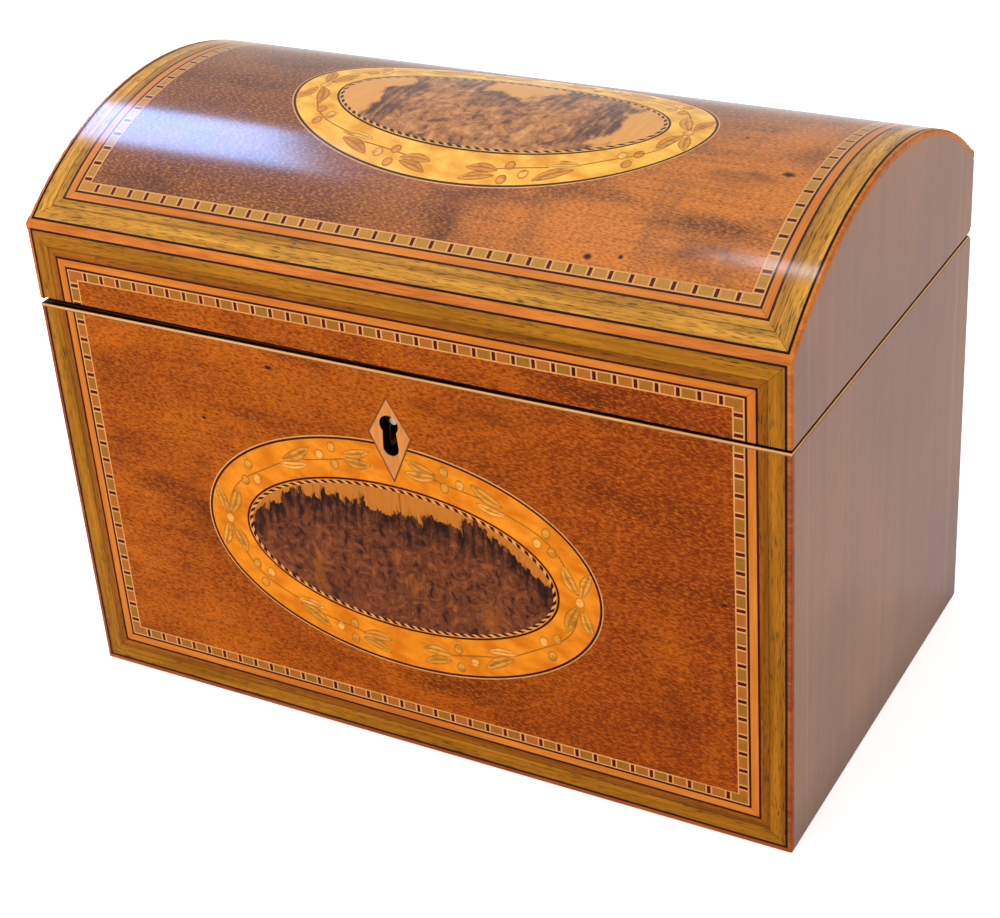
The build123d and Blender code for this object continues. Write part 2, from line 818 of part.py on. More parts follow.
def all_parts():
    """Every node of the caddy with its solids."""
    parts = {}
    parts.update(carcass_case())
    parts["base_baize"] = base_baize()
    parts["case_corner_strings"] = case_corner_strings()
    parts["rim_strings"] = rim_strings()
    parts["case_side_veneers"] = side_veneers_case()
    parts["case_back_veneer"] = back_veneer_case()

    border_pieces, field, rings, escutcheon = case_front()
    for kind, group in border_pieces.items():
        parts["case_" + kind] = group
    parts["front_field_veneer"] = field
    parts["front_oval_lines"] = [rings["holly"], rings["ebony"], rings["inner_line"]]
    parts["front_oval_ring"] = rings["ring"]
    parts["front_oval_rope"] = rings["rope"]
    parts["front_oval_burr"] = rings["burr"]
    parts["escutcheon"] = escutcheon

    parts["lock_plate"] = lock_plate_solid()
    parts["lock_case"] = lock_case_solid()
    parts["lock_pins"] = lock_pins()
    parts["lock_bolt"] = lock_bolt()

    half = divider / 2
    parts["compartment_divider"] = block(-half, half, -y_board, y_board, z_floor, liner_top)
    for name, side in (("left", -1), ("right", 1)):
        parts[name + "_liner"] = liner(side)
        parts[name + "_inner_lid"] = inner_lid_solid(side)
        parts[name + "_knob"] = knob(side)

    parts["case_hinge_leaves"] = [hinge_leaf(centre, lid=False) for centre in hinge_centres()]
    parts["case_screws"] = screws(case_leaf_screws + lock_screws)
    parts["hinge_pins"] = hinge_pins()

    parts.update(carcass_lid())
    strings = lid_corner_strings()
    parts["lid_corner_strings"] = strings
    parts["lid_side_veneers"] = side_veneers_lid(strings)
    parts["lid_back_veneer"] = back_veneer_lid()
    front_border, lid_strip = lid_front()
    dome_border, dome_field, dome_rings = dome_inlay()
    for kind in front_border:
        parts["lid_" + kind] = front_border[kind] + dome_border[kind]
    parts["lid_front_field_veneer"] = lid_strip
    parts["dome_field_veneer"] = dome_field
    parts["dome_oval_lines"] = [dome_rings["holly"], dome_rings["ebony"], dome_rings["inner_line"]]
    parts["dome_oval_ring"] = dome_rings["ring"]
    parts["dome_oval_rope"] = dome_rings["rope"]
    parts["dome_oval_burr"] = dome_rings["burr"]
    parts["link_plate"] = link_plate()
    parts["lid_hinge_leaves"] = [hinge_leaf(centre, lid=True) for centre in hinge_centres()]
    parts["lid_screws"] = screws(lid_leaf_screws + link_screws)
    return parts


def solids_of(item):
    """All solids of a shape or of a list of shapes."""
    shapes = item if isinstance(item, (list, tuple)) else [item]
    return [solid for shape in shapes for solid in shape.solids()]


os.makedirs("parts", exist_ok=True)
for node, item in all_parts().items():
    export_step(Compound(children=solids_of(item)), os.path.join("parts", node + ".step"))
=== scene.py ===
import json
import math

import bpy
import numpy as np
from mathutils import Matrix, Vector


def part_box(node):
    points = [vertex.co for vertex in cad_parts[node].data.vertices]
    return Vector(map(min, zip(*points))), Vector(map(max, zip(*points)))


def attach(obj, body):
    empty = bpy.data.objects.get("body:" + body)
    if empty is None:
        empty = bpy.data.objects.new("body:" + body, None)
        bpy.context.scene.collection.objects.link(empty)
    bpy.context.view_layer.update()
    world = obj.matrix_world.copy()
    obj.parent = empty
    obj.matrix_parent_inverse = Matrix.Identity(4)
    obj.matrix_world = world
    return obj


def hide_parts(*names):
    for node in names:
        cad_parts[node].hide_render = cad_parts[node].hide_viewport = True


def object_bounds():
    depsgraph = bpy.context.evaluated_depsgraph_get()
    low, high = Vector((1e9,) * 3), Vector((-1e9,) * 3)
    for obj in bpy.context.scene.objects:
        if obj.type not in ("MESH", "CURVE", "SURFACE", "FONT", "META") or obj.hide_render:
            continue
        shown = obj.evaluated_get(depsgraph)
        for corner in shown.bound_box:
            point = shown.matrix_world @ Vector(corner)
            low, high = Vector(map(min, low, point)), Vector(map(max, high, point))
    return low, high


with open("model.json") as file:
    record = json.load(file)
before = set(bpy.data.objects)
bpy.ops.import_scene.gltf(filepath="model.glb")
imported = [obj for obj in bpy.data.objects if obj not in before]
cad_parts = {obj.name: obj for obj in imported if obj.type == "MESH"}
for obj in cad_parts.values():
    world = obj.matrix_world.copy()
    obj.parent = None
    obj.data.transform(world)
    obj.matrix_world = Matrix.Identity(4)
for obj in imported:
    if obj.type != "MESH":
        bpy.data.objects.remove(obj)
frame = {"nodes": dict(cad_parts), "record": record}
nodes = frame["nodes"]
cad_low, cad_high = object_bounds()

# Sizes are in millimetres; the floor is z = 0, the front faces -Y and meshes are written in metres
MM = 0.001
rng = np.random.default_rng(7)


def corner(node, end):
    """Lowest (0) or highest (1) corner of a part of the frame, in millimetres."""
    return np.array(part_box(node)[end]) / MM


# Faces that the inlay lies on, read from the frame
x_out, y_out, z_top = np.array(cad_high) / MM
x_skin = corner("case_back_veneer", 1)[0]
veneer = x_out - x_skin
z_rim = corner("rim_strings", 1)[2]
z_string = corner("rim_strings", 0)[2]
z_wood = corner("case_corner_strings", 0)[2]
z_front_top = corner("lid_back_veneer", 1)[2]
z_arris = z_front_top + veneer
dome_rise = z_top - z_arris
dome_radius = (y_out**2 + dome_rise**2) / (2 * dome_rise)
dome_axis = z_top - dome_radius
arc_skin = dome_radius * math.asin((y_out - veneer) / dome_radius)
shadow_gap_left, shadow_gap_right = 1.9, 0.75

# Inlaid border, named from the corner string inwards; the second band of two has the browner wood
bands = [
    ("black_lines", 0.12),
    ("crossbanding", 3.95),
    ("crossbanding", 1.95),
    ("black_lines", 0.58),
    ("boxwood_stringing", 1.88),
    ("black_lines", 0.57),
    ("holly_lines", 0.35),
    ("dentil", 2.15),
    ("holly_lines", 0.35),
]
wide_band, narrow_band = 1, 2
border = sum(width for _, width in bands)
mitre_gap = 0.05
least_piece = 0.05
corner_string_seen = 1.0

# Dentil string: its pitch, the lengths of a tooth and a slip, and of what is left plain at its corners
dentil_pitch = 4.95
dentil_tooth = 0.9
dentil_slip = 0.42
dentil_corner = 1.5

# Oval medallions: widths of the rings from the outside inwards, and the rope's twist
oval_holly, oval_ebony, oval_ring, oval_inner_line, rope_width = 0.35, 0.6, 10.5, 0.55, 1.1
ring_middle = oval_holly + oval_ebony + oval_ring / 2
rope_edge = 0.25
rope_pitch = 2.45
rope_dark = 1.3
rope_slant = -1.1

# Room left for the keyhole behind the escutcheon: half widths in the lines and in the ring's outer part
line_gap = 4.3
ring_gap = 2.7
ring_gap_depth = 3.2

# Depths below the polished face, so that what is let into another piece lies just above it
ring_depth = 0.04
leaf_depth = 0.02
line_depth = 0.01
leaf_step, berry_rise, stem_drop = 0.0015, 0.01, 0.003


def srgb(text):
    """Linear colour of an sRGB hex value."""
    channels = np.array([int(text[i : i + 2], 16) for i in (1, 3, 5)]) / 255
    linear = np.where(channels <= 0.04045, channels / 12.92, ((channels + 0.055) / 1.055) ** 2.4)
    return (*linear.tolist(), 1.0)


def add(tree, kind, inputs=None, **settings):
    """Adds a node, sets it up, and fills its sockets with values, hex colours, nodes or sockets."""
    made = tree.nodes.new("ShaderNode" + kind)
    for key, value in settings.items():
        setattr(made, key, value)
    for key, value in (inputs or {}).items():
        if isinstance(value, bpy.types.Node):
            value = next(output for output in value.outputs if output.enabled)
        if isinstance(value, bpy.types.NodeSocket):
            tree.links.new(value, made.inputs[key])
        else:
            made.inputs[key].default_value = srgb(value) if isinstance(value, str) else value
    return made


def finish(name, build, *values):
    """Material whose build function, given its values, returns the inputs of a Principled shader."""
    made = bpy.data.materials.new(name)
    made.use_nodes = True
    tree = made.node_tree
    tree.nodes.clear()
    shader = add(tree, "BsdfPrincipled", build(tree, *values))
    add(tree, "OutputMaterial", {"Surface": shader})
    return made


# Patterns and layers that several finishes share


def streaks(tree, place, length, width, detail, seed):
    """Noise drawn out along x, from a streak's real length and width in millimetres."""
    scale = (1 / (length * MM), 1 / (width * MM), 1 / (width * MM))
    drawn = add(tree, "VectorMath", {0: place, 1: scale}, operation="MULTIPLY")
    noise = {"Vector": drawn, "W": seed, "Scale": 1.0, "Detail": detail}
    return add(tree, "TexNoise", noise, noise_dimensions="4D")


def spots(tree, place, marks):
    """Mask of soft oval marks, each given by its middle, half length and half height in millimetres."""
    total = None
    for u, v, half_length, half_height in marks:
        moved = add(tree, "VectorMath", {0: place, 1: (-u * MM, -v * MM, 0)})
        shape = (1 / (half_length * MM), 1 / (half_height * MM), 0)
        scaled = add(tree, "VectorMath", {0: moved, 1: shape}, operation="MULTIPLY")
        reach = add(tree, "VectorMath", {0: scaled}, operation="LENGTH").outputs["Value"]
        fading = {"Value": reach, "From Min": 1.0, "From Max": 0.3}
        mark = add(tree, "MapRange", fading, interpolation_type="SMOOTHSTEP")
        total = mark if total is None else add(tree, "Math", {0: total, 1: mark}, operation="MAXIMUM")
    return total


def risen(tree, *patterns):
    """Product of patterns, each of which rises from none to its most as it goes from one value to another."""
    total = None
    for pattern, begin, end, most in patterns:
        edges = {"Value": pattern, "From Min": begin, "From Max": end, "To Max": most}
        share = add(tree, "MapRange", edges)
        total = share if total is None else add(tree, "Math", {0: total, 1: share}, operation="MULTIPLY")
    return total


def tinted(tree, colour, *layers):
    """Lays shades over a colour: each reaches its strength as its pattern goes from one value to another."""
    for *pattern, shade in layers:
        colour = add(tree, "Mix", {0: risen(tree, pattern), 6: colour, 7: shade}, data_type="RGBA")
    return colour


def french_polish(tree, colour, coat, pattern, strength, depth, roughness=0.5, coat_roughness=0.13):
    """Inputs of a wood under old shellac: satin under a thin gloss coat, both uneven with a pattern."""
    bump = add(tree, "Bump", {"Height": pattern, "Strength": strength, "Distance": depth * MM})
    return {
        "Base Color": colour,
        "Roughness": roughness,
        "Specular IOR Level": 0.03,
        "Normal": bump,
        "Coat Weight": coat,
        "Coat Roughness": coat_roughness,
        "Coat Normal": bump,
    }


# Woods: worn polish is on the upright faces and bright polish on the dome. The grain map of a laid veneer
# runs along its grain; a part that keeps the frame's shape is turned so that x does
worn, bright = 0.02, 0.4
level_grain = (0, 0, 0)
upright_grain = (0, math.pi / 2, 0)


def plain_wood(tree, pale, dark, length, width, seed, coat=worn, turn=None, painted_shade_and_stains=None):
    """Straight-grained wood: long soft streaks, fine pores and a slow drift in colour."""
    if turn is None:
        place = add(tree, "UVMap", uv_map="grain")
    else:
        place = add(tree, "Mapping", {"Vector": add(tree, "TexCoord").outputs["Object"], "Rotation": turn})
    mixed = streaks(tree, place, length, width, 3.0, seed)
    fine = streaks(tree, place, length / 3, width / 5, 5.0, seed + 1)
    drift = streaks(tree, place, 60.0, 25.0, 2.0, seed + 2)
    for part in (fine, drift):
        mixed = add(tree, "Math", {0: mixed, 1: part}, operation="ADD")
    colour = tinted(tree, pale, (mixed, 1.2, 1.8, 1.0, dark))
    # A mask lays near black over the wood: painted shade, and in some masks a real stain or glue line too
    if painted_shade_and_stains is not None:
        colour = add(tree, "Mix", {0: painted_shade_and_stains(tree), 6: colour, 7: "#120906"}, data_type="RGBA")
    return french_polish(tree, colour, coat, fine, 0.25, 0.02)


def painted_gap_shadow(tree):
    """Mask of painted shadow on the front edge of the lid's board, in the gap where the warped lid stands
    open.
    """
    place = add(tree, "SeparateXYZ", {0: add(tree, "TexCoord").outputs["Object"]})
    open_top = z_rim + shadow_gap_left
    low = (place.outputs["Z"], (open_top + 0.6) * MM, (open_top + 0.3) * MM, 1.0)
    return risen(tree, low, (place.outputs["Y"], (4.6 - y_out) * MM, (2.6 - y_out) * MM, 1.0))


def keyhole_painted_shade(tree):
    """Mask of painted shade in the keyhole's bore, on the front board round it."""
    place = add(tree, "VectorMath", {0: add(tree, "TexCoord").outputs["Object"], 1: keyhole_place})
    flat = add(tree, "VectorMath", {0: place, 1: (1, 0, 1)}, operation="MULTIPLY")
    reach = add(tree, "VectorMath", {0: flat}, operation="LENGTH").outputs["Value"]
    return risen(tree, (reach, 9.0 * MM, 7.5 * MM, 1.0))


def depths(tree):
    """How deep a point lies inside the outer faces: of the sides, and of front and back."""
    away = add(tree, "VectorMath", {0: add(tree, "TexCoord").outputs["Object"]}, operation="ABSOLUTE")
    away = add(tree, "SeparateXYZ", {0: away})
    from_side = add(tree, "Math", {0: x_out * MM, 1: away.outputs["X"]}, operation="SUBTRACT")
    return from_side, add(tree, "Math", {0: y_out * MM, 1: away.outputs["Y"]}, operation="SUBTRACT")


def painted_inner_shade(tree):
    """Mask of painted shade on what faces away from the polish: all that lies over a hair inside the outer
    faces.
    """
    from_side, from_front = depths(tree)
    deep = add(tree, "Math", {0: from_side, 1: from_front}, operation="MINIMUM")
    return risen(tree, (deep, 0.05 * MM, 0.25 * MM, 1.0))


def lozenge_glue_line_and_shade(tree):
    """Mask of the dark glue line round the escutcheon, where shares of its half sizes add up to one, and of
    painted shade on the escutcheon's inner faces.
    """
    place = add(tree, "VectorMath", {0: add(tree, "TexCoord").outputs["Object"], 1: lozenge_place})
    across = add(tree, "SeparateXYZ", {0: add(tree, "VectorMath", {0: place}, operation="ABSOLUTE")})
    height = add(tree, "SeparateXYZ", {0: place}).outputs["Z"]
    across, above, below = (
        add(tree, "Math", {0: value, 1: 1 / (reach * MM)}, operation="MULTIPLY")
        for value, reach in (
            (across.outputs["X"], lozenge_half_width), (height, lozenge_top), (height, -lozenge_foot)
        )
    )
    upright = add(tree, "Math", {0: above, 1: below}, operation="MAXIMUM")
    reach = add(tree, "Math", {0: across, 1: upright}, operation="ADD")
    rim = risen(tree, (reach, 0.9, 0.96, 0.8))
    return add(tree, "Math", {0: painted_inner_shade(tree), 1: rim}, operation="MAXIMUM")


def rim_shade_and_stain(tree):
    """Mask of painted shade on top of the rim string, in the gap under the lid, and of the stain that polish
    has left along its lower edge.
    """
    height = add(tree, "SeparateXYZ", {0: add(tree, "TexCoord").outputs["Object"]}).outputs["Z"]
    low = risen(tree, (height, (z_rim - 0.45) * MM, (z_rim - 0.6) * MM, 0.7))
    return add(tree, "Math", {0: painted_inner_shade(tree), 1: low}, operation="MAXIMUM")


def black_inner_line(tree):
    """Mask of the black line let into a corner string, where its seen width ends, on front and dome."""
    from_side, from_front = depths(tree)
    place = add(tree, "SeparateXYZ", {0: add(tree, "TexCoord").outputs["Object"]})
    # On the dome the string is a little wider, so the line lies further in
    along_dome = add(tree, "Math", {0: from_front, 1: 0.9}, operation="MULTIPLY")
    below = add(tree, "Math", {0: z_arris * MM, 1: place.outputs["Z"]}, operation="SUBTRACT")
    above = add(tree, "Math", {0: place.outputs["Z"], 1: z_wood * MM}, operation="SUBTRACT")
    on_upright = add(tree, "Math", {0: below, 1: above}, operation="MINIMUM")
    is_dome = add(tree, "Math", {0: below, 1: 0.0}, operation="LESS_THAN")
    other = add(tree, "Mix", {0: is_dome, 2: on_upright, 3: along_dome})
    nearest = add(tree, "Math", {0: from_side, 1: other}, operation="MINIMUM")
    at_front = add(tree, "Math", {0: place.outputs["Y"], 1: 0.0}, operation="LESS_THAN")
    inlaid = add(tree, "Math", {0: is_dome, 1: at_front}, operation="MAXIMUM")
    line = risen(tree, (nearest, (corner_string_seen - 0.04) * MM, (corner_string_seen + 0.04) * MM, 1.0))
    return add(tree, "Math", {0: line, 1: inlaid}, operation="MULTIPLY")


def harewood_field(tree, pale, middle, dark, painted_light_colour, glint, pits, marks, smudges, seed, coat, laid):
    """Faded harewood, knife cut: short fine flecks that make it look pitted, over slow clouds of colour."""
    if laid:
        place = add(tree, "UVMap", uv_map="grain")
        tone = add(tree, "Attribute", attribute_name="tone").outputs["Fac"]
    else:
        place = add(tree, "TexCoord").outputs["Object"]
        place = add(tree, "Mapping", {"Vector": place, "Rotation": (-math.pi / 2, 0, 0)})
        across = add(tree, "SeparateXYZ", {0: place}).outputs["X"]
        # Painted shade: the front field darkens towards the right, as the light falls off across it
        tone = risen(tree, (across, -60.0 * MM, 95.0 * MM, 0.9))
    leaning = add(tree, "Mapping", {"Vector": place, "Rotation": (0, 0, 0.12)})
    fleck = streaks(tree, leaning, 1.1, 0.38, 2.0, seed)
    streak = streaks(tree, place, 26.0, 1.6, 4.0, seed + 1)
    cloud = streaks(tree, place, 30.0, 16.0, 4.0, seed + 2)
    curl = streaks(tree, place, 9.0, 38.0, 3.0, seed + 3)
    stain = streaks(tree, place, 30.0, 13.0, 5.0, seed + 4)
    broken = streaks(tree, place, 9.0, 4.0, 5.0, seed + 5)
    broken = risen(tree, (broken, 0.35, 0.65, 0.55))
    shadow = add(tree, "Math", {0: spots(tree, place, smudges), 1: broken}, operation="MULTIPLY")
    colour = tinted(tree, pale, (cloud, 0.4, 0.6, 1.0, middle))
    # Painted light: the tone mixes in a darker colour at the right of the front, and a brighter glow at the
    # right front of the dome
    colour = add(tree, "Mix", {0: tone, 6: colour, 7: painted_light_colour}, data_type="RGBA")
    colour = tinted(
        tree,
        colour,
        (curl, 0.5, 0.7, 0.6, pale),
        (stain, 0.52, 0.7, 0.8, dark),
        (streak, 0.5, 0.75, 0.4, dark),
        (fleck, 0.5, 0.32, 0.6, glint),
        (fleck, 0.5, 0.68, pits, dark),
    )
    colour = add(tree, "Mix", {0: shadow, 6: colour, 7: dark}, data_type="RGBA")
    colour = add(tree, "Mix", {0: spots(tree, place, marks), 6: colour, 7: "#2e140b"}, data_type="RGBA")
    return french_polish(tree, colour, coat, fleck, 0.3, 0.015)


def crossbanding(tree, gold_pale, gold_dark, brown_pale, brown_dark, pore, seed, coat):
    """Golden banding: its grain runs along each strip, with dark pores and a few soot-brown smears."""
    place = add(tree, "UVMap", uv_map="grain")
    broad = streaks(tree, place, 40.0, 1.4, 4.0, seed)
    pores = streaks(tree, place, 3.6, 0.3, 3.0, seed + 1)
    grime = streaks(tree, place, 16.0, 4.0, 5.0, seed + 2)
    tone = add(tree, "Attribute", attribute_name="tone").outputs["Fac"]
    seam = add(tree, "Attribute", attribute_name="edge").outputs["Fac"]
    gold = tinted(tree, gold_pale, (broad, 0.35, 0.65, 1.0, gold_dark))
    brown = tinted(tree, brown_pale, (broad, 0.35, 0.65, 1.0, brown_dark))
    colour = add(tree, "Mix", {0: tone, 6: gold, 7: brown}, data_type="RGBA")
    heavy = add(tree, "MapRange", {"Value": grime, "From Min": 0.35, "From Max": 0.62, "To Min": pore})
    colour = tinted(
        tree,
        colour,
        (grime, 0.5, 0.75, pore, "#3a230f"),
        (pores, 0.52, 0.64, heavy, "#3f2610"),
        (seam, 0.9, 0.97, 0.6, "#2a1206"),
    )
    return french_polish(tree, colour, coat, pores, 0.25, 0.02)


def dyed_blocks(tree, green_pale, green_dark, orange_pale, orange_dark, coat):
    """Dentil blocks of sycamore: tone 0 is stained olive green and tone 1 has faded to orange."""
    fibre = streaks(tree, add(tree, "UVMap", uv_map="grain"), 2.0, 0.3, 4.0, 31.0)
    tone = add(tree, "Attribute", attribute_name="tone").outputs["Fac"]
    green = add(tree, "Mix", {0: fibre, 6: green_pale, 7: green_dark}, data_type="RGBA")
    orange = add(tree, "Mix", {0: fibre, 6: orange_pale, 7: orange_dark}, data_type="RGBA")
    colour = add(tree, "Mix", {0: tone, 6: green, 7: orange}, data_type="RGBA")
    return french_polish(tree, colour, coat, fibre, 0.2, 0.01)


def figured_ring(tree, pale, dark, seed, coat):
    """Satinwood ring: a soft flame figure that crosses the band at a slant, with fine pores."""
    place = add(tree, "UVMap", uv_map="grain")
    leaning = add(tree, "Mapping", {"Vector": place, "Rotation": (0, 0, 0.35)})
    flame = streaks(tree, leaning, 7.0, 3.2, 5.0, seed)
    cloud = streaks(tree, place, 7.0, 7.0, 5.0, seed + 1)
    pores = streaks(tree, place, 2.4, 0.3, 3.0, seed + 2)
    mixed = add(tree, "Math", {0: flame, 1: cloud}, operation="ADD")
    colour = tinted(tree, pale, (mixed, 0.82, 1.18, 1.0, dark), (pores, 0.58, 0.75, 0.35, "#8a5216"))
    return french_polish(tree, colour, coat, pores, 0.2, 0.01)


def sand_shaded(tree, berry_pale, leaf_dark, outline_dark, coat):
    """Marquetry leaves and berries: scorched in hot sand, so darker at their edges and one side."""
    place = add(tree, "UVMap", uv_map="grain")
    fibre = streaks(tree, place, 4.0, 0.4, 4.0, 41.0)
    scorched = streaks(tree, place, 2.6, 2.0, 2.0, 43.0)
    tone = add(tree, "Attribute", attribute_name="tone").outputs["Fac"]
    rim = add(tree, "Attribute", attribute_name="edge").outputs["Fac"]
    colour = tinted(
        tree,
        add(tree, "Mix", {0: tone, 6: berry_pale, 7: leaf_dark}, data_type="RGBA"),
        (fibre, 0.48, 0.66, 0.5, outline_dark),
        (scorched, 0.5, 0.7, 0.6, outline_dark),
        (rim, 0.6, 0.98, 0.75, outline_dark),
    )
    return french_polish(tree, colour, coat, fibre, 0.2, 0.01)


def burr(tree, shades, finger, lobe, soft, seam, fans, seed, coat):
    """Burr with a rim of pale sapwood: blunt dark fingers of heartwood push into it, and it boils inside.
    Finger and lobe are the heights of the fingers and of the slow waves under them, soft is the half width of
    the edge and seam the place of the joint of two sheets, which may lie outside the oval."""
    sap_pale, sap_dark, heart, heart_dark, heart_light, edge_dark = shades
    place = add(tree, "UVMap", uv_map="grain")
    turned = add(tree, "Mapping", {"Vector": place, "Rotation": (0, 0, math.pi / 2)})
    across = add(tree, "SeparateXYZ", {0: place}).outputs["X"]

    # Edge of the heartwood: 1.35 mm wide fingers of chance height, bent, blunt and jagged, on slow lobes
    sway = streaks(tree, place, 3.5, 3.5, 3.0, seed)
    sway = add(tree, "MapRange", {"Value": sway, "To Min": -1.4 * MM, "To Max": 1.4 * MM})
    bent = add(tree, "Math", {0: across, 1: sway}, operation="ADD")
    bent = add(tree, "Math", {0: bent, 1: 1 / (1.35 * MM)}, operation="MULTIPLY")
    column = add(tree, "TexVoronoi", {"W": bent, "Scale": 1.0}, voronoi_dimensions="1D")
    chance = add(tree, "SeparateColor", {0: column.outputs["Color"]}).outputs["Red"]
    stand = add(tree, "MapRange", {"Value": chance, "To Min": finger * MM, "To Max": -finger * MM})
    jagged = streaks(tree, place, 0.7, 0.7, 4.0, seed + 5)
    jagged = add(tree, "MapRange", {"Value": jagged, "To Min": -0.9 * MM, "To Max": 0.9 * MM})
    blunt = add(tree, "Math", {0: column.outputs["Distance"], 1: 2.0}, operation="POWER")
    blunt = add(tree, "Math", {0: blunt, 1: 2.2 * MM}, operation="MULTIPLY")
    slow = streaks(tree, place, 8.0, 8.0, 3.0, seed + 1)
    reach = {"From Min": 0.2, "From Max": 0.8, "To Min": -lobe * MM, "To Max": lobe * MM}
    slow = add(tree, "MapRange", {"Value": slow, **reach})
    height = add(tree, "Attribute", attribute_name="rise").outputs["Fac"]
    for part in (stand, jagged, blunt, slow):
        height = add(tree, "Math", {0: height, 1: part}, operation="ADD")

    # Heartwood: boiling swirls with dark veins and a few pale fans, darkest under its edge
    boil = {"Vector": place, "W": seed, "Scale": 1 / (5.2 * MM), "Detail": 9.0, "Roughness": 0.62}
    swirl = add(tree, "TexNoise", {**boil, "Distortion": 2.4}, noise_dimensions="4D")
    flow = streaks(tree, turned, 6.0, 2.0, 6.0, seed + 2)
    mixed = add(tree, "Mix", {0: 0.3, 2: swirl, 3: flow})
    vein = add(tree, "Math", {0: swirl, 1: 0.5}, operation="SUBTRACT")
    vein = add(tree, "Math", {0: vein}, operation="ABSOLUTE")
    fan = add(tree, "Math", {0: spots(tree, place, fans), 1: flow}, operation="MULTIPLY")
    inner = tinted(
        tree,
        heart,
        (mixed, 0.5, 0.4, 1.0, heart_dark),
        (mixed, 0.53, 0.66, 0.75, heart_light),
        (vein, 0.016, 0.0, 0.9, heart_dark),
        (fan, 0.2, 0.7, 0.55, sap_dark),
    )
    cap = risen(tree, (height, -9.0 * MM, -1.5 * MM, 1.0))
    patchy = add(tree, "MapRange", {"Value": flow, "From Min": 0.62, "From Max": 0.42, "To Min": 0.3})
    dimmed = add(tree, "Math", {0: cap, 1: patchy}, operation="MULTIPLY")
    inner = add(tree, "Mix", {0: dimmed, 6: inner, 7: edge_dark}, data_type="RGBA")

    # Sapwood, cracks that run up into it between the fingers, and the joint of two sheets
    sap_grain = streaks(tree, turned, 12.0, 1.2, 4.0, seed + 4)
    outer = add(tree, "Mix", {0: sap_grain, 6: sap_pale, 7: sap_dark}, data_type="RGBA")
    colour = tinted(tree, inner, (height, -soft * MM, soft * MM, 1.0, outer))
    between = (column.outputs["Distance"], 0.4, 0.5, 1.0)
    crack = risen(tree, between, (height, 2.2 * MM, -0.5 * MM, 0.8))
    crack = add(tree, "Math", {0: crack, 1: cap}, operation="MULTIPLY")
    colour = add(tree, "Mix", {0: crack, 6: colour, 7: edge_dark}, data_type="RGBA")
    joint = add(tree, "Math", {0: across, 1: seam * MM}, operation="SUBTRACT")
    joint = add(tree, "Math", {0: joint}, operation="ABSOLUTE")
    colour = tinted(tree, colour, (joint, 0.22 * MM, 0.08 * MM, 0.6, "#4a2410"))
    return french_polish(tree, colour, coat, swirl, 0.2, 0.03)


def side_veneer(tree):
    """Plain side veneer with an upright grain: its purple grey is partly long fading and partly a painted
    sheen, the pale room's reflection laid into the colour. The carcass joints show through as faint lines
    near front and back, and the foot is darker."""
    place = add(tree, "TexCoord").outputs["Object"]
    upright = add(tree, "Mapping", {"Vector": place, "Rotation": upright_grain})
    grain = streaks(tree, upright, 80.0, 3.0, 5.0, 51.0)
    fine = streaks(tree, upright, 5.0, 0.35, 4.0, 52.0)
    cloud = streaks(tree, place, 45.0, 45.0, 4.0, 53.0)
    apart = add(tree, "SeparateXYZ", {0: place})
    from_middle = add(tree, "Math", {0: apart.outputs["Y"]}, operation="ABSOLUTE")
    from_joint = add(tree, "Math", {0: from_middle, 1: carcass_joint * MM}, operation="SUBTRACT")
    from_joint = add(tree, "Math", {0: from_joint}, operation="ABSOLUTE")
    # Painted sheen: the purple grey base stands in part for the pale room's reflection on the polish
    colour = tinted(
        tree,
        "#906853",
        (cloud, 0.38, 0.62, 1.0, "#a27354"),
        (grain, 0.4, 0.75, 0.2, "#68493a"),
        (fine, 0.5, 0.8, 0.3, "#5e4438"),
        (from_joint, 0.9 * MM, 0.2 * MM, 0.25, "#a08a7c"),
        (apart.outputs["Z"], 14.0 * MM, 0.0, 0.4, "#4a2f26"),
    )
    return french_polish(tree, colour, 0.3, fine, 0.2, 0.02, roughness=0.55, coat_roughness=0.3)


def aged_brass(tree):
    """Lacquer-free cast brass, filed and worn: dull gold with brown tarnish in soft clouds."""
    place = add(tree, "TexCoord").outputs["Object"]
    cloud = streaks(tree, place, 5.0, 5.0, 5.0, 61.0)
    scratch = streaks(tree, place, 6.0, 0.12, 2.0, 62.0)
    colour = tinted(tree, "#c9a25a", (cloud, 0.4, 0.68, 0.8, "#7a5a2c"))
    dulled = {"Value": cloud, "From Min": 0.35, "From Max": 0.7, "To Min": 0.25, "To Max": 0.5}
    bump = add(tree, "Bump", {"Height": scratch, "Strength": 0.25, "Distance": 0.02 * MM})
    return {
        "Base Color": colour,
        "Metallic": 1.0,
        "Roughness": add(tree, "MapRange", dulled),
        "Normal": bump,
    }


def dull_steel(tree):
    """Wrought steel, hand filed: grey with brown rust blooms."""
    cloud = streaks(tree, add(tree, "TexCoord").outputs["Object"], 1.6, 1.6, 5.0, 63.0)
    colour = tinted(tree, "#a09c96", (cloud, 0.5, 0.7, 0.7, "#5c4632"))
    rough = add(tree, "MapRange", {"Value": cloud, "To Min": 0.3, "To Max": 0.6})
    bump = add(tree, "Bump", {"Height": cloud, "Strength": 0.3, "Distance": 0.02 * MM})
    return {"Base Color": colour, "Metallic": 1.0, "Roughness": rough, "Normal": bump}


def lead_foil(tree):
    """Tin and lead foil rubbed down over thin wood: soft grey with creases and dull patches."""
    place = add(tree, "TexCoord").outputs["Object"]
    crease = {"Vector": place, "Scale": 1 / (9.0 * MM), "Detail": 6.0, "Distortion": 1.2}
    crease = add(tree, "TexNoise", crease)
    cloud = streaks(tree, place, 14.0, 14.0, 4.0, 64.0)
    colour = add(tree, "Mix", {0: cloud, 6: "#a6a49f", 7: "#6d6a66"}, data_type="RGBA")
    rough = add(tree, "MapRange", {"Value": cloud, "To Min": 0.35, "To Max": 0.62})
    bump = add(tree, "Bump", {"Height": crease, "Strength": 0.5, "Distance": 0.4 * MM})
    return {"Base Color": colour, "Metallic": 0.9, "Roughness": rough, "Normal": bump}


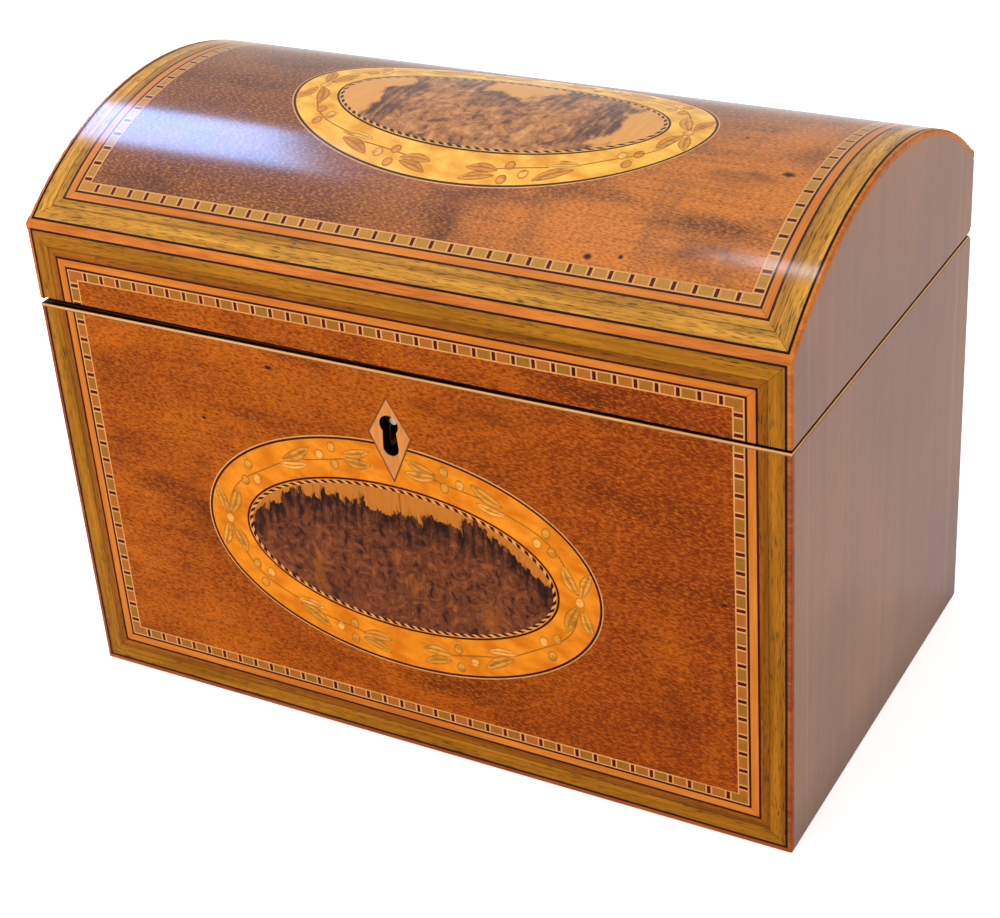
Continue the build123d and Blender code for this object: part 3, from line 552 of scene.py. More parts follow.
def turned_bone(tree):
    """Bone turned on a lathe and polished: cream with fine brown flecks along its length."""
    place = add(tree, "TexCoord").outputs["Object"]
    upright = add(tree, "Mapping", {"Vector": place, "Rotation": upright_grain})
    fleck = streaks(tree, upright, 2.2, 0.2, 3.0, 65.0)
    bump = add(tree, "Bump", {"Height": fleck, "Strength": 0.2, "Distance": 0.02 * MM})
    return {
        "Base Color": tinted(tree, "#e6dbc0", (fleck, 0.6, 0.75, 0.5, "#a98a5c")),
        "Roughness": 0.32,
        "Normal": bump,
        "Subsurface Weight": 0.15,
        "Subsurface Radius": (1.0, 0.7, 0.4),
        "Subsurface Scale": 1.2 * MM,
    }


def worn_baize(tree):
    """Napped wool baize: a felted dark green with lighter worn hairs."""
    place = add(tree, "TexCoord").outputs["Object"]
    nap = add(tree, "TexNoise", {"Vector": place, "Scale": 1 / (0.5 * MM), "Detail": 5.0, "Roughness": 0.7})
    wear = streaks(tree, place, 30.0, 30.0, 4.0, 66.0)
    fibre = add(tree, "Mix", {0: nap, 6: "#1f3a26", 7: "#3d5c40"}, data_type="RGBA")
    colour = tinted(tree, fibre, (wear, 0.5, 0.75, 0.5, "#6b7358"))
    bump = add(tree, "Bump", {"Height": nap, "Strength": 0.7, "Distance": 0.3 * MM})
    return {"Base Color": colour, "Roughness": 0.95, "Normal": bump, "Sheen Weight": 0.4}


# Faces that veneer is laid on: u runs to the right and v up or back, depth is below the polish


def on_front(u, v, depth):
    """Flat front: u is x and v is z."""
    return np.stack([u, np.full_like(u, -y_out + depth), v], axis=-1)


def on_dome(u, v, depth):
    """Dome: v is the length of arc from its crown towards the back, so the point is at angle v over R."""
    radius = dome_radius - depth
    angle = v / dome_radius
    return np.stack([u, radius * np.sin(angle), dome_axis + radius * np.cos(angle)], axis=-1)


def on_dome_plan(u, v, depth):
    """Dome seen from above: v is y on the outer face, and depth goes in towards the axis."""
    return on_dome(u, dome_radius * np.arcsin(v / dome_radius), depth)


def patch(face, u, v, depth, tone=0.0, edge=0.0, rise=0.0, upright=False, wrap=False, start=0.0):
    """One grid of points on a face, with what its finish needs: the way of the grain and its shades."""
    grain = np.stack([v, u] if upright else [u, v], axis=-1) + start
    shade = np.zeros_like(u)
    return {
        "top": face(u, v, depth),
        "foot": face(u, v, veneer),
        "grain": grain * MM,
        "tone": shade + tone,
        "edge": shade + edge,
        "rise": shade + rise,
        "wrap": wrap,
    }


def lay(name, body, patches, material, slot, *stands_for):
    """A piece of veneer from grids of points: each gets its top, its foot and walls round its edge."""
    points, quads, grain = [], [], []
    shades = {"tone": [], "edge": [], "rise": []}
    start = 0
    for grid in patches:
        rows, columns = grid["top"].shape[:2]
        count = rows * columns
        top = start + np.arange(count).reshape(rows, columns)
        if grid["wrap"]:
            top = np.concatenate([top, top[:, :1]], axis=1)
            rims = [(top[-1, :-1], top[-1, 1:]), (top[0, 1:], top[0, :-1])]
        else:
            rims = [
                (top[:-1, 0], top[1:, 0]),
                (top[-1, :-1], top[-1, 1:]),
                (top[1:, -1], top[:-1, -1]),
                (top[0, 1:], top[0, :-1]),
            ]
        cells = np.stack([top[:-1, :-1], top[1:, :-1], top[1:, 1:], top[:-1, 1:]], axis=-1).reshape(-1, 4)
        quads.append(cells)
        quads.append(cells[:, ::-1] + count)
        for near, far in rims:
            quads.append(np.stack([far, near, near + count, far + count], axis=-1))
        points += [grid["top"].reshape(-1, 3), grid["foot"].reshape(-1, 3)]
        grain += [grid["grain"].reshape(-1, 2)] * 2
        for kind, values in shades.items():
            values += [grid[kind].ravel()] * 2
        start += 2 * count
    points = np.concatenate(points) * MM
    quads = np.concatenate(quads)
    grain = np.concatenate(grain)
    mesh = bpy.data.meshes.new(name)
    mesh.from_pydata(points, [], quads)
    mesh.uv_layers.new(name="grain").data.foreach_set("uv", grain[quads.ravel()].ravel())
    for kind, values in shades.items():
        mesh.attributes.new(kind, "FLOAT", "POINT").data.foreach_set("value", np.concatenate(values))
    mesh.shade_smooth()
    mesh.set_sharp_from_angle(angle=math.radians(35))
    mesh.materials.append(material)
    piece = bpy.data.objects.new(name, mesh)
    bpy.context.scene.collection.objects.link(piece)
    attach(piece, body)
    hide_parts(*stands_for)
    return piece


def four_sided(corners, fine):
    """Grid between four corners, anticlockwise, by mixing them along both ways; cells are about fine long."""
    a, b, c, d = (np.array(point, float) for point in corners)
    rows = max(1, math.ceil(max(np.linalg.norm(b - a), np.linalg.norm(c - d)) / fine))
    columns = max(1, math.ceil(max(np.linalg.norm(d - a), np.linalg.norm(c - b)) / fine))
    s = np.linspace(0, 1, rows + 1)[:, None, None]
    t = np.linspace(0, 1, columns + 1)[None, :, None]
    mixed = (a * (1 - s) + b * s) * (1 - t) + (d * (1 - s) + c * s) * t
    return mixed[..., 0], mixed[..., 1]


def disc(middle, half_length, half_height, steps):
    """Filled oval without a pole: a square grid (x, y) goes to (x sqrt(1 - y^2 / 2), y sqrt(1 - x^2 / 2))."""
    x, y = np.meshgrid(np.linspace(-1, 1, steps + 1), np.linspace(-1, 1, steps + 1), indexing="ij")
    u = x * np.sqrt(1 - y**2 / 2)
    v = y * np.sqrt(1 - x**2 / 2)
    return middle[0] + half_length * u, middle[1] + half_height * v, np.hypot(u, v)


def strip_corners(side, rect, start, end, open_side, gap):
    """Corners of one mitred strip of a border, anticlockwise, between two offsets from a rectangle."""
    u0, u1, v0, v1 = rect
    ends = []
    inset = gap if side in ("left", "right") else 0
    for offset in (start, end):
        low = v0 + (0 if open_side == "bottom" else offset + inset)
        high = v1 - (0 if open_side == "top" else offset + inset)
        ends.append((u0 + offset, u1 - offset, low, high))
    (a0, a1, b0, b1), (c0, c1, d0, d1) = ends
    corners = {
        "left": [(a0, b0), (c0, d0), (c0, d1), (a0, b1)],
        "right": [(c1, d0), (a1, b0), (a1, b1), (c1, d1)],
        "bottom": [(a0 + gap, b0), (a1 - gap, b0), (c1 - gap, d0), (c0 + gap, d0)],
        "top": [(c0 + gap, d1), (c1 - gap, d1), (a1 - gap, b1), (a0 + gap, b1)],
    }
    return corners[side]


def across_strip(side, rect, start, width, u, v):
    """Share of a strip's width, from 0 at its outer edge to 1 at its inner edge."""
    u0, u1, v0, v1 = rect
    inward = {"left": u - u0, "right": u1 - u, "bottom": v - v0, "top": v1 - v}[side]
    return (inward - start) / width


def dentil_run(side, rect, start, end, open_side):
    """Dentil string of one side: repeats of a dark tooth, a light slip, a dyed block and another slip."""
    u0, u1, v0, v1 = rect
    upright = side in ("left", "right")
    low = v0 + (0 if open_side == "bottom" else end)
    high = v1 - (0 if open_side == "top" else end)
    first, last = (low, high) if upright else (u0 + end, u1 - end)
    count = int((last - first - dentil_tooth) // dentil_pitch) + 1
    middle = (first + last) / 2
    if not upright:
        first, last = u0 + start, u1 - start
    near, far = {
        "left": (u0 + start, u0 + end),
        "right": (u1 - end, u1 - start),
        "bottom": (v0 + start, v0 + end),
        "top": (v1 - end, v1 - start),
    }[side]
    pieces = []
    for number in range(-2, count + 1):
        tooth = middle + (number - (count - 1) / 2) * dentil_pitch - dentil_tooth / 2
        slip = tooth + dentil_tooth
        block = slip + dentil_slip
        last_slip = tooth + dentil_pitch - dentil_slip
        tone = float(np.clip(number % 2 + rng.normal(0, 0.22), 0, 1))
        parts = [
            ("dentil_teeth", tooth, slip, 0.0),
            ("dentil_slips", slip, block, 0.0),
            ("dentil_blocks", block, last_slip, tone),
            ("dentil_slips", last_slip, tooth + dentil_pitch, 0.0),
        ]
        for kind, begin, stop, shade in parts:
            begin, stop = max(begin, first), min(stop, last)
            if stop - begin < least_piece:
                continue
            if not upright and (begin < first + dentil_corner or stop > last - dentil_corner):
                kind, shade = "dentil_blocks", tone
            if upright:
                corners = [(near, begin), (far, begin), (far, stop), (near, stop)]
            else:
                corners = [(begin, near), (stop, near), (stop, far), (begin, far)]
            pieces.append((kind, corners, shade, not upright))
    return pieces


def border_patches(face, rect, sides, open_side, fine, trim=None):
    """Every strip of an inlaid border as grids, sorted by kind; trim lifts what would reach too low."""
    sorted_patches = {}
    offset = 0.0
    for layer, (kind, width) in enumerate(bands):
        gap = mitre_gap if kind in ("crossbanding", "boxwood_stringing") else 0.0
        for turn, side in enumerate(sides):
            upright = side in ("left", "right")
            if kind == "dentil":
                cut = dentil_run(side, rect, offset, offset + width, open_side)
            else:
                browner = 0.8 if layer == narrow_band else float(rng.uniform(0, 0.3))
                corners = strip_corners(side, rect, offset, offset + width, open_side, gap)
                cut = [(kind, corners, browner, upright)]
            for name, corners, tone, turned in cut:
                u, v = four_sided(corners, fine)
                if trim is not None:
                    if v.max() <= trim(u).max() + least_piece:
                        continue
                    v = np.maximum(v, trim(u))
                seam = across_strip(side, rect, offset, width, u, v) if layer == wide_band else 0.0
                begin = 37.0 * turn + 11.0 * layer
                grid = patch(face, u, v, 0.0, tone=tone, edge=seam, upright=turned, start=begin)
                sorted_patches.setdefault(name, []).append(grid)
        offset += width
    return sorted_patches


def lid_foot(u):
    """Lower edge of the lid's skin: the warped lid leaves a gap that narrows from left to right."""
    share = (u + x_out) / (2 * x_out)
    return z_rim + shadow_gap_left + (shadow_gap_right - shadow_gap_left) * share


def oval_line(middle, halves, shrink, angle):
    """Point of an oval, drawn in from its outer edge."""
    return middle[0] + (halves[0] - shrink) * np.cos(angle), middle[1] + (halves[1] - shrink) * np.sin(angle)


def oval_band(face, middle, halves, outer, inner, depth, gap=0.0, across=1):
    """Band between two ovals: rows go outwards and columns round, open at the top over a gap about x = 0."""
    shrink = np.linspace(inner, outer, across + 1)[:, None]
    angle = np.linspace(0, 2 * math.pi, 240, endpoint=False)[None, :]
    if gap:
        begin = np.arccos((-gap - middle[0]) / (halves[0] - shrink))
        end = np.arccos((gap - middle[0]) / (halves[0] - shrink)) + 2 * math.pi
        angle = begin + (end - begin) * np.linspace(0, 1, 241)[None, :]
    return patch(face, *oval_line(middle, halves, shrink, angle), depth, wrap=not gap)


def field_round_oval(rect, middle, halves, steps=60, across=30):
    """Dome's field: straight lines, in the flat veneer, from the oval's edge to the rectangle's."""
    u0, u1, v0, v1 = rect
    side = np.linspace(0, 1, steps, endpoint=False)
    outer_u = np.concatenate([u1 + 0 * side, u1 + (u0 - u1) * side, u0 + 0 * side, u0 + (u1 - u0) * side])
    outer_v = np.concatenate([v0 + (v1 - v0) * side, v1 + 0 * side, v1 + (v0 - v1) * side, v0 + 0 * side])
    angle = np.arctan2((outer_v - middle[1]) / halves[1], (outer_u - middle[0]) / halves[0])
    inner_u, inner_v = oval_line(middle, halves, 0.0, angle)
    inner_v = dome_radius * np.arcsin(inner_v / dome_radius)
    t = np.linspace(0, 1, across + 1)[:, None]
    u = inner_u * (1 - t) + outer_u * t
    v = inner_v * (1 - t) + outer_v * t
    return patch(on_dome, u, v, 0.0, tone=dome_tone_and_painted_glow(u, v), wrap=True)


def rope(face, middle, halves, shrink, width, depth):
    """Twisted string: slanted dark and light pieces in turn along the oval's inner edge."""
    angle = np.linspace(0, 2 * math.pi, 2001)
    u, v = oval_line(middle, halves, shrink + width / 2, angle)
    length = np.concatenate([[0], np.cumsum(np.hypot(np.diff(u), np.diff(v)))])
    count = round(length[-1] / rope_pitch)
    pitch = length[-1] / count
    dark, light = [], []
    for number in range(count):
        for pieces, begin, end in ((dark, 0.0, rope_dark), (light, rope_dark, pitch)):
            along = number * pitch + np.linspace(begin, end, 3)[None, :]
            inward = np.linspace(1, 0, 3)[:, None]
            slanted = (along + rope_slant * (inward - 0.5)) % length[-1]
            turn = np.interp(slanted, length, angle)
            pu, pv = oval_line(middle, halves, shrink + width * inward, turn)
            pieces.append(patch(face, pu, pv, depth, start=float(number)))
    return dark, light


def leaf(face, base, tip, width, bend, depth, tone):
    """Lens-shaped leaf: half width goes as sin(pi s), with its middle bowed a little to one side."""
    base, tip = np.array(base), np.array(tip)
    run = tip - base
    square = np.array([-run[1], run[0]]) / np.hypot(*run)
    s = np.linspace(0.02, 0.98, 13)[:, None]
    t = np.linspace(-1, 1, 5)[None, :]
    half = 0.5 * width * np.sin(math.pi * s) ** 0.8
    bow = bend * np.hypot(*run) * np.sin(math.pi * s)
    u = base[0] + run[0] * s + square[0] * (bow + half * t)
    v = base[1] + run[1] * s + square[1] * (bow + half * t)
    edge = np.maximum(np.abs(t), 1.0 - 4.0 * np.minimum(s, 1 - s) + 0 * t)
    edge = np.maximum(edge, 0.95 * (np.abs(t) < 0.1) * (s < 0.85))
    return patch(face, u, v, depth, tone=tone, edge=edge)


def berry(face, middle, depth, tone):
    """Berry, a little taller than wide, with a scorched outline."""
    u, v, reach = disc(middle, 1.25, 1.5, 8)
    return patch(face, u, v, depth, tone=tone, edge=reach)


def stem(face, middle, halves, begin, end, depth):
    """Thin stem along the middle of the ring, between two angles of the oval, weaving a little."""
    angle = np.linspace(begin, end, 25)[None, :]
    weave = 0.5 * np.sin((angle - begin) * 9.0)
    across = np.linspace(0.17, -0.17, 2)[:, None]
    u, v = oval_line(middle, halves, ring_middle + weave + across, angle)
    return patch(face, u, v, depth, tone=1.0, edge=1.0)


# One quarter of a garland, from the oval's middle: each leaf's base, tip and width, each berry's place and
# tone, and the angles between which a stem runs
garland_leaves = [
    ((48.7, 1.4), (45.0, 9.4), 3.3),
    ((49.8, 1.4), (52.2, 9.0), 2.9),
    ((30.8, 21.2), (22.2, 26.2), 3.2),
    ((31.6, 19.6), (23.0, 20.8), 2.3),
    ((12.9, 26.4), (4.6, 29.0), 2.8),
    ((12.9, 25.2), (4.4, 25.2), 3.0),
]
garland_berries = [
    (41.3, 17.1, 0.8),
    (38.8, 13.8, 0.05),
    (42.6, 12.2, 0.9),
    (15.2, 27.6, 0.7),
    (15.0, 22.8, 0.9),
    (19.2, 24.8, 0.05),
]
garland_stems = [(4, 52), (60, 76)]
pale_leaf = 3


def garland(face, middle, halves, depth):
    """Leaves, berries and stems round a medallion's ring, the same in each quarter but for small slips."""
    shapes = []
    for across, up in ((1, 1), (1, -1), (-1, -1), (-1, 1)):
        tones = rng.uniform(0.6, 1.0, 6)
        slips = rng.normal(0, 0.2, (20, 2))

        def at(u, v, number):
            """Place in this quarter, with the slip of its number."""
            return middle[0] + across * u + slips[number, 0], middle[1] + up * v + slips[number, 1]

        count = len(garland_leaves)
        for number, (base, tip, width) in enumerate(garland_leaves):
            tone = 0.1 if number == pale_leaf else tones[number]
            ends = at(*base, number), at(*tip, number + count)
            height = depth - leaf_step * number
            shapes.append(leaf(face, *ends, width, 0.06 * across * up, height, tone))
        for number, (u, v, tone) in enumerate(garland_berries):
            shapes.append(berry(face, at(u, v, number + 2 * count), depth - berry_rise, tone))
        for turns in garland_stems:
            turns = np.radians(turns)
            if across < 0:
                turns = math.pi - turns
            turns = sorted(float(turn) for turn in up * turns)
            shapes.append(stem(face, middle, halves, *turns, depth + stem_drop))
    for place in (middle[0] + halves[0] - ring_middle, middle[0] - halves[0] + ring_middle):
        shapes.append(berry(face, (place, middle[1]), depth - berry_rise, 0.1))
    return shapes


# Shades that follow the photograph's broad light and dark places


def blob(u, v, middle, half_length, half_height):
    """Soft mound: exp of minus the square of the distance in half lengths and half heights."""
    return np.exp(-(((u - middle[0]) / half_length) ** 2) - ((v - middle[1]) / half_height) ** 2)


def dome_tone_and_painted_glow(u, v):
    """The dome's field goes from purple brown at the left to a painted glow of brighter orange brown at the
    right front.
    """
    painted_glow = blob(u, v, (48, -40), 42, 22) + 0.95 * blob(u, v, (78, -12), 24, 36)
    return np.clip(0.15 + painted_glow, 0, 1)


def front_rise(u, v):
    """Height above the front burr's ragged edge, 14 mm up in the middle and 12 mm lower at both ends."""
    away = np.clip((np.abs(u + 1.0) - 26) / 15, 0, 1)
    return (v - (14.0 - 12.0 * away**1.3)) * MM


def dome_rise_of_sap(u, v):
    """The dome's burr has sapwood from 31 mm out at both ends, and in a bay 17 mm back in the middle."""
    ends = np.abs(u) - 31.0
    bay = 9.0 - np.hypot(u * 0.9, (v - 17.0))
    return np.maximum(ends, bay) * MM


# Small dark knots, as places on the face with half lengths and half heights
front_marks = [(-32.5, 103.0, 1.5, 0.8), (-54.0, 85.0, 1.0, 0.7), (84.0, 66.0, 1.2, 0.5)]
dome_marks = [
    (81.5, -14.8, 2.2, 1.2),
    (47.5, -48.1, 1.4, 1.2),
    (55.0, -46.9, 0.9, 0.8),
    (66.0, -1.0, 1.0, 0.6),
    (9.0, -57.0, 2.0, 1.0),
]

# Wide soft stains in the two fields, in the same way
front_smudges = [(-58.0, 62.0, 7.0, 22.0), (70.0, 30.0, 9.0, 16.0), (20.0, 101.0, 22.0, 5.0)]
dome_smudges = [
    (10.0, -44.0, 5.0, 18.0),
    (-20.0, -53.0, 10.0, 8.0),
    (-72.0, -50.0, 16.0, 8.0),
    (16.0, -36.0, 18.0, 4.0),
    (74.0, -44.0, 16.0, 7.0),
    (72.0, -18.0, 12.0, 5.0),
    (-60.0, 10.0, 20.0, 9.0),
]

# Pale fans of figure in the two burrs, in the same way
front_fans = [(-25.0, 48.0, 3.4, 9.0), (24.0, 46.0, 5.0, 9.0), (2.0, 50.0, 3.0, 6.0)]
dome_fans = [(-12.0, 0.0, 9.0, 3.0), (18.0, -6.0, 8.0, 3.5), (4.0, 6.0, 7.0, 3.0)]

# Finishes of the inlay; the dome's is brighter polished and more faded than the upright faces, and its
# colours are also painted lighter, as lit copies of the same woods
front_reds = ("#ad560c", "#8f4206", "#541e02", "#7e3008", "#c06414")
dome_browns = ("#704226", "#563026", "#40201a", "#c06e26", "#cc863e")
front_field = finish(
    "faded_harewood_front", harewood_field, *front_reds, 0.75, front_marks, front_smudges, 1.0, worn, False
)
dome_field = finish(
    "faded_harewood_dome", harewood_field, *dome_browns, 0.55, dome_marks, dome_smudges, 5.0, bright, True
)


# Plain woods of the inlay: their two shades, a streak's length and width, and the seed
ebonised = ("#3c1208", "#1a0703", 12.0, 0.6, 20.0)
pale_holly = ("#d99a5c", "#bd7d40", 20.0, 0.8, 17.0)
golden_box = ("#cf7c2c", "#ae5c18", 30.0, 1.0, 14.0)
red_black = ("#5a180c", "#260806", 4.0, 0.6, 23.0)

# Shades of the burrs: pale and dark sapwood; heartwood, its dark and its light; its darkest edge
front_burr = ("#c0762a", "#a05a1c", "#6e3a20", "#321812", "#98582c", "#200e0a")
dome_burr = ("#de9c52", "#c88438", "#b07440", "#68402e", "#dc9a5e", "#52322a")


def inlay_finishes(name, coat, gold, blocks, ring, leaves, core):
    """Finishes of one face's inlay by kind, each with the slot of the record that it belongs to."""
    woods = {
        "black_lines": ("ebonised_line", "ebonised_pearwood", plain_wood, *ebonised),
        "holly_lines": ("holly", "polished_holly", plain_wood, *pale_holly),
        "boxwood_stringing": ("boxwood", "polished_boxwood", plain_wood, *golden_box),
        "dentil_teeth": ("ebonised_line", "dark_dentil_wood", plain_wood, *red_black),
        "crossbanding": ("crossbanding", "golden_crossbanding", crossbanding, *gold, 9.0),
        "dentil_blocks": ("dyed_sycamore", "dyed_sycamore", dyed_blocks, *blocks),
        "ring": ("satinwood", "satinwood_ring", figured_ring, *ring, 26.0),
        "garland": ("satinwood", "sand_shaded_leaves", sand_shaded, *leaves),
        "core": ("burr", "yew_burr", burr, *core),
    }
    made = {}
    for kind, (slot, wood, build, *values) in woods.items():
        made[kind] = finish(f"{wood}_{name}", build, *values, coat), slot
    made["dentil_slips"] = made["holly_lines"][0], "dyed_sycamore"
    made["rope_dark"] = made["black_lines"][0], "rope_string"
    made["rope_light"] = made["holly_lines"][0], "rope_string"
    return made


front_inlay = inlay_finishes(
    "front",
    worn,
    gold=("#ae721a", "#88540a", "#964f0c", "#6e3a06", 0.2),
    blocks=("#a46e24", "#704612", "#b86c2a", "#804416"),
    ring=("#e0861c", "#c46808"),
    leaves=("#f4a64a", "#cc8628", "#804610"),
    core=(front_burr, 0.95, 3.6, 0.2, 0.9, front_fans, 71.0),
)
# Painted light: the dome's woods are lighter copies of the front's, for the stronger light from above
dome_inlay = inlay_finishes(
    "dome",
    bright,
    gold=("#da9c34", "#a86e18", "#ba7e26", "#8c5614", 0.5),
    blocks=("#ba8a38", "#865c1e", "#c48a3c", "#8e5a1e"),
    ring=("#f0b648", "#d68e26"),
    leaves=("#eeb048", "#cc8020", "#84480e"),
    core=(dome_burr, 0.3, 7.0, 1.2, 90.0, dome_fans, 77.0),
)

# Places of painted shade and joints that show in the frame's own parts
keyhole_low, keyhole_high = corner("escutcheon", 0), corner("escutcheon", 1)
keyhole_place = tuple(-MM * (keyhole_low + keyhole_high) / 2)
lozenge_half_width, lozenge_top, lozenge_foot = 5.95, 10.2, 12.9
lozenge_place = (keyhole_place[0], 0.0, -MM * (keyhole_high[2] - lozenge_top))
carcass_joint = 49.4

# Finishes of the parts that keep the frame's own shapes
plain_mahogany = (plain_wood, "#7c4526", "#542a16", 40.0, 1.8, 81.0)
pine = (plain_wood, "#c99a5e", "#a87440", 60.0, 3.0, 84.0)
mahogany = finish("waxed_mahogany", *plain_mahogany, 0.15, level_grain)
# Painted shadow: the lid's board goes near black inside the gap under the lid
gap_shadowed_rail = finish("mahogany_rail_painted_gap_shadow", *plain_mahogany, 0.1, level_grain, painted_gap_shadow)
# Painted shade: the keyhole's bore in the front board is darkened near black
bored_front = finish("bored_mahogany_front", *plain_mahogany, 0.1, level_grain, keyhole_painted_shade)
# Painted shade: the top of the rim string is darkened where it lies in the gap under the lid
rim_holly = (plain_wood, "#dfa468", "#c58748", 20.0, 1.0, 90.0, worn, level_grain, rim_shade_and_stain)
escutcheon = (plain_wood, "#d48a48", "#b06c34", 12.0, 1.0, 93.0, worn, upright_grain, lozenge_glue_line_and_shade)
string = (16.0, 2.0, 87.0, 0.1, level_grain, black_inner_line)
slot_finish = {
    "carcass_mahogany": mahogany,
    "carcass_pine": finish("bare_pine", *pine, 0.0, level_grain),
    "side_veneer": finish("side_veneer_faded_and_painted_sheen", side_veneer),
    "boxwood": finish("worn_corner_string", plain_wood, "#d07a2c", "#a4541a", *string),
    "holly": finish("rim_holly", *rim_holly),
    "escutcheon_wood": finish("pale_escutcheon_wood", *escutcheon),
    "brass": finish("aged_brass", aged_brass),
    "steel": finish("dull_steel", dull_steel),
    "tin_foil": finish("lead_foil", lead_foil),
    "bone": finish("turned_bone", turned_bone),
    "baize": finish("worn_baize", worn_baize),
    "harewood_field": front_field,
}
part_finish = {
    "lid_front_board": gap_shadowed_rail,
    "front_board": bored_front,
    "case_corner_strings": finish("darkened_corner_string", plain_wood, "#ac581e", "#7a3410", *string),
}
for part in frame["record"]["subparts"]:
    own = part_finish.get(part["node"], slot_finish.get(part["material_slot"]))
    if own is not None:
        slots = nodes[part["node"]].data.materials
        slots.clear()
        slots.append(own)


# Inlay of the case's front, the lid's front and the dome
case_rect = (-x_skin, x_skin, z_wood + veneer, z_string)
lid_rect = (-x_skin, x_skin, z_rim, z_front_top)
dome_rect = (-x_skin, x_skin, -arc_skin, arc_skin)
all_sides = ("left", "bottom", "right", "top")
case_sides, lid_sides = ("left", "bottom", "right"), ("left", "top", "right")

# Cells as long as a strip will do on a flat face, and short ones follow the dome
flat_cell, domed_cell = 400.0, 2.5
borders = [
    ("case_front", "case", front_inlay, (on_front, case_rect, case_sides, "top", flat_cell)),
    ("lid_front", "lid", front_inlay, (on_front, lid_rect, lid_sides, "bottom", flat_cell, lid_foot)),
    ("dome", "lid", dome_inlay, (on_dome, dome_rect, all_sides, None, domed_cell)),
]
borders = [(name, body, inlay, border_patches(*run)) for name, body, inlay, run in borders]
for name, body, inlay, strips in borders:
    for kind, grids in strips.items():
        stands_for = [] if kind == "dentil_slips" else [f"{body}_{kind}"]
        lay(f"{name}_{kind}", body, grids, *inlay[kind], *stands_for)


def medallion(prefix, body, face, rise, inlay, keyhole):
    """Rings, rope, garland and burr of one oval, placed where the frame's own rings lie; gives its oval."""
    axis = 2 if body == "case" else 1
    low, high = corner(prefix + "_oval_lines", 0), corner(prefix + "_oval_lines", 1)
    middle = ((low[0] + high[0]) / 2, (low[axis] + high[axis]) / 2)
    halves = ((high[0] - low[0]) / 2, (high[axis] - low[axis]) / 2)
    ebony_end = oval_holly + oval_ebony
    ring_end = ebony_end + oval_ring
    edge_start = ring_end + oval_inner_line
    rope_end = edge_start + rope_width
    notch = ring_gap_depth if keyhole else 0.0
    outer_gap, inner_gap = (line_gap, ring_gap) if keyhole else (0.0, 0.0)
    black_rings = [
        oval_band(face, middle, halves, oval_holly, ebony_end, line_depth, outer_gap),
        oval_band(face, middle, halves, ring_end, edge_start, line_depth),
    ]
    ring = [
        oval_band(face, middle, halves, ebony_end + notch, ring_end, ring_depth, across=8),
        oval_band(face, middle, halves, edge_start, edge_start + rope_edge, line_depth),
    ]
    if keyhole:
        ring.append(oval_band(face, middle, halves, ebony_end, ebony_end + notch, ring_depth, inner_gap, 3))
    dark, light = rope(face, middle, halves, edge_start + rope_edge, rope_width - rope_edge, 0.0)
    u, v, _ = disc(middle, halves[0] - rope_end, halves[1] - rope_end, 48)
    rings = {
        "holly_lines": ([oval_band(face, middle, halves, 0.0, oval_holly, line_depth, outer_gap)], []),
        "black_lines": (black_rings, ["lines"]),
        "ring": (ring, ["ring"]),
        "garland": (garland(face, middle, halves, leaf_depth), []),
        "rope_dark": (dark, ["rope"]),
        "rope_light": (light, []),
        "core": ([patch(face, u, v, 0.0, rise=rise(u - middle[0], v - middle[1]))], ["burr"]),
    }
    for kind, (grids, ends) in rings.items():
        stands_for = [f"{prefix}_oval_{end}" for end in ends]
        lay(f"{prefix}_oval_{kind}_laid", body, grids, *inlay[kind], *stands_for)
    return middle, halves


medallion("front", "case", on_front, front_rise, front_inlay, True)
dome_middle, dome_halves = medallion("dome", "lid", on_dome_plan, dome_rise_of_sap, dome_inlay, False)

inside = (border - x_skin, x_skin - border, border - arc_skin, arc_skin - border)
laid = field_round_oval(inside, dome_middle, dome_halves)
lay("dome_field", "lid", [laid], dome_field, "dome_field", "dome_field_veneer")

lid_strip = [
    (lid_rect[0] + border, lid_rect[2]),
    (lid_rect[1] - border, lid_rect[2]),
    (lid_rect[1] - border, lid_rect[3] - border),
    (lid_rect[0] + border, lid_rect[3] - border),
]
strip_u, strip_v = four_sided(lid_strip, 4.0)
laid = patch(on_front, strip_u, np.maximum(strip_v, lid_foot(strip_u)), 0.0)
lay("lid_front_field_laid", "lid", [laid], front_field, "harewood_field", "lid_front_field_veneer")

# Baize under the base: a cut sheet, thinner at its cut edges
baize_low, baize_high = corner("base_baize", 0), corner("base_baize", 1)
baize_ripple, baize_thinned, baize_edge = 0.02, 0.35, 0.5


def under_base(u, v, depth):
    """Underside, with v towards the front: level where it is glued, rippled below, thinner at its edges."""
    if depth > 0:
        return np.stack([u, -v, np.full_like(u, baize_high[2])], axis=-1)
    ripple = baize_ripple * (1 + np.sin(u / 5.0) * np.sin(v / 4.0))
    near = np.minimum(baize_high[0] - np.abs(u), baize_high[1] - np.abs(v))
    thinned = baize_thinned * np.clip(1 - near / baize_edge, 0, 1) ** 2
    return np.stack([u, -v, ripple + thinned], axis=-1)


closer_to_edges = np.sin(0.5 * math.pi * np.linspace(-1, 1, 97))
half_wide, half_deep = baize_high[:2]
cloth_u, cloth_v = np.meshgrid(half_wide * closer_to_edges, half_deep * closer_to_edges, indexing="ij")
laid = patch(under_base, cloth_u, cloth_v, 0.0)
cloth = lay("base_baize_cloth", "case", [laid], slot_finish["baize"], "baize", "base_baize")

# Camera, from the photograph's own perspective
camera_place = Vector((246.64, -422.02, 336.59)) * MM
camera_aim = Vector((-5.83, 0.0, 51.83)) * MM
camera_roll = math.radians(-4.467)
focal_share = 2.1597

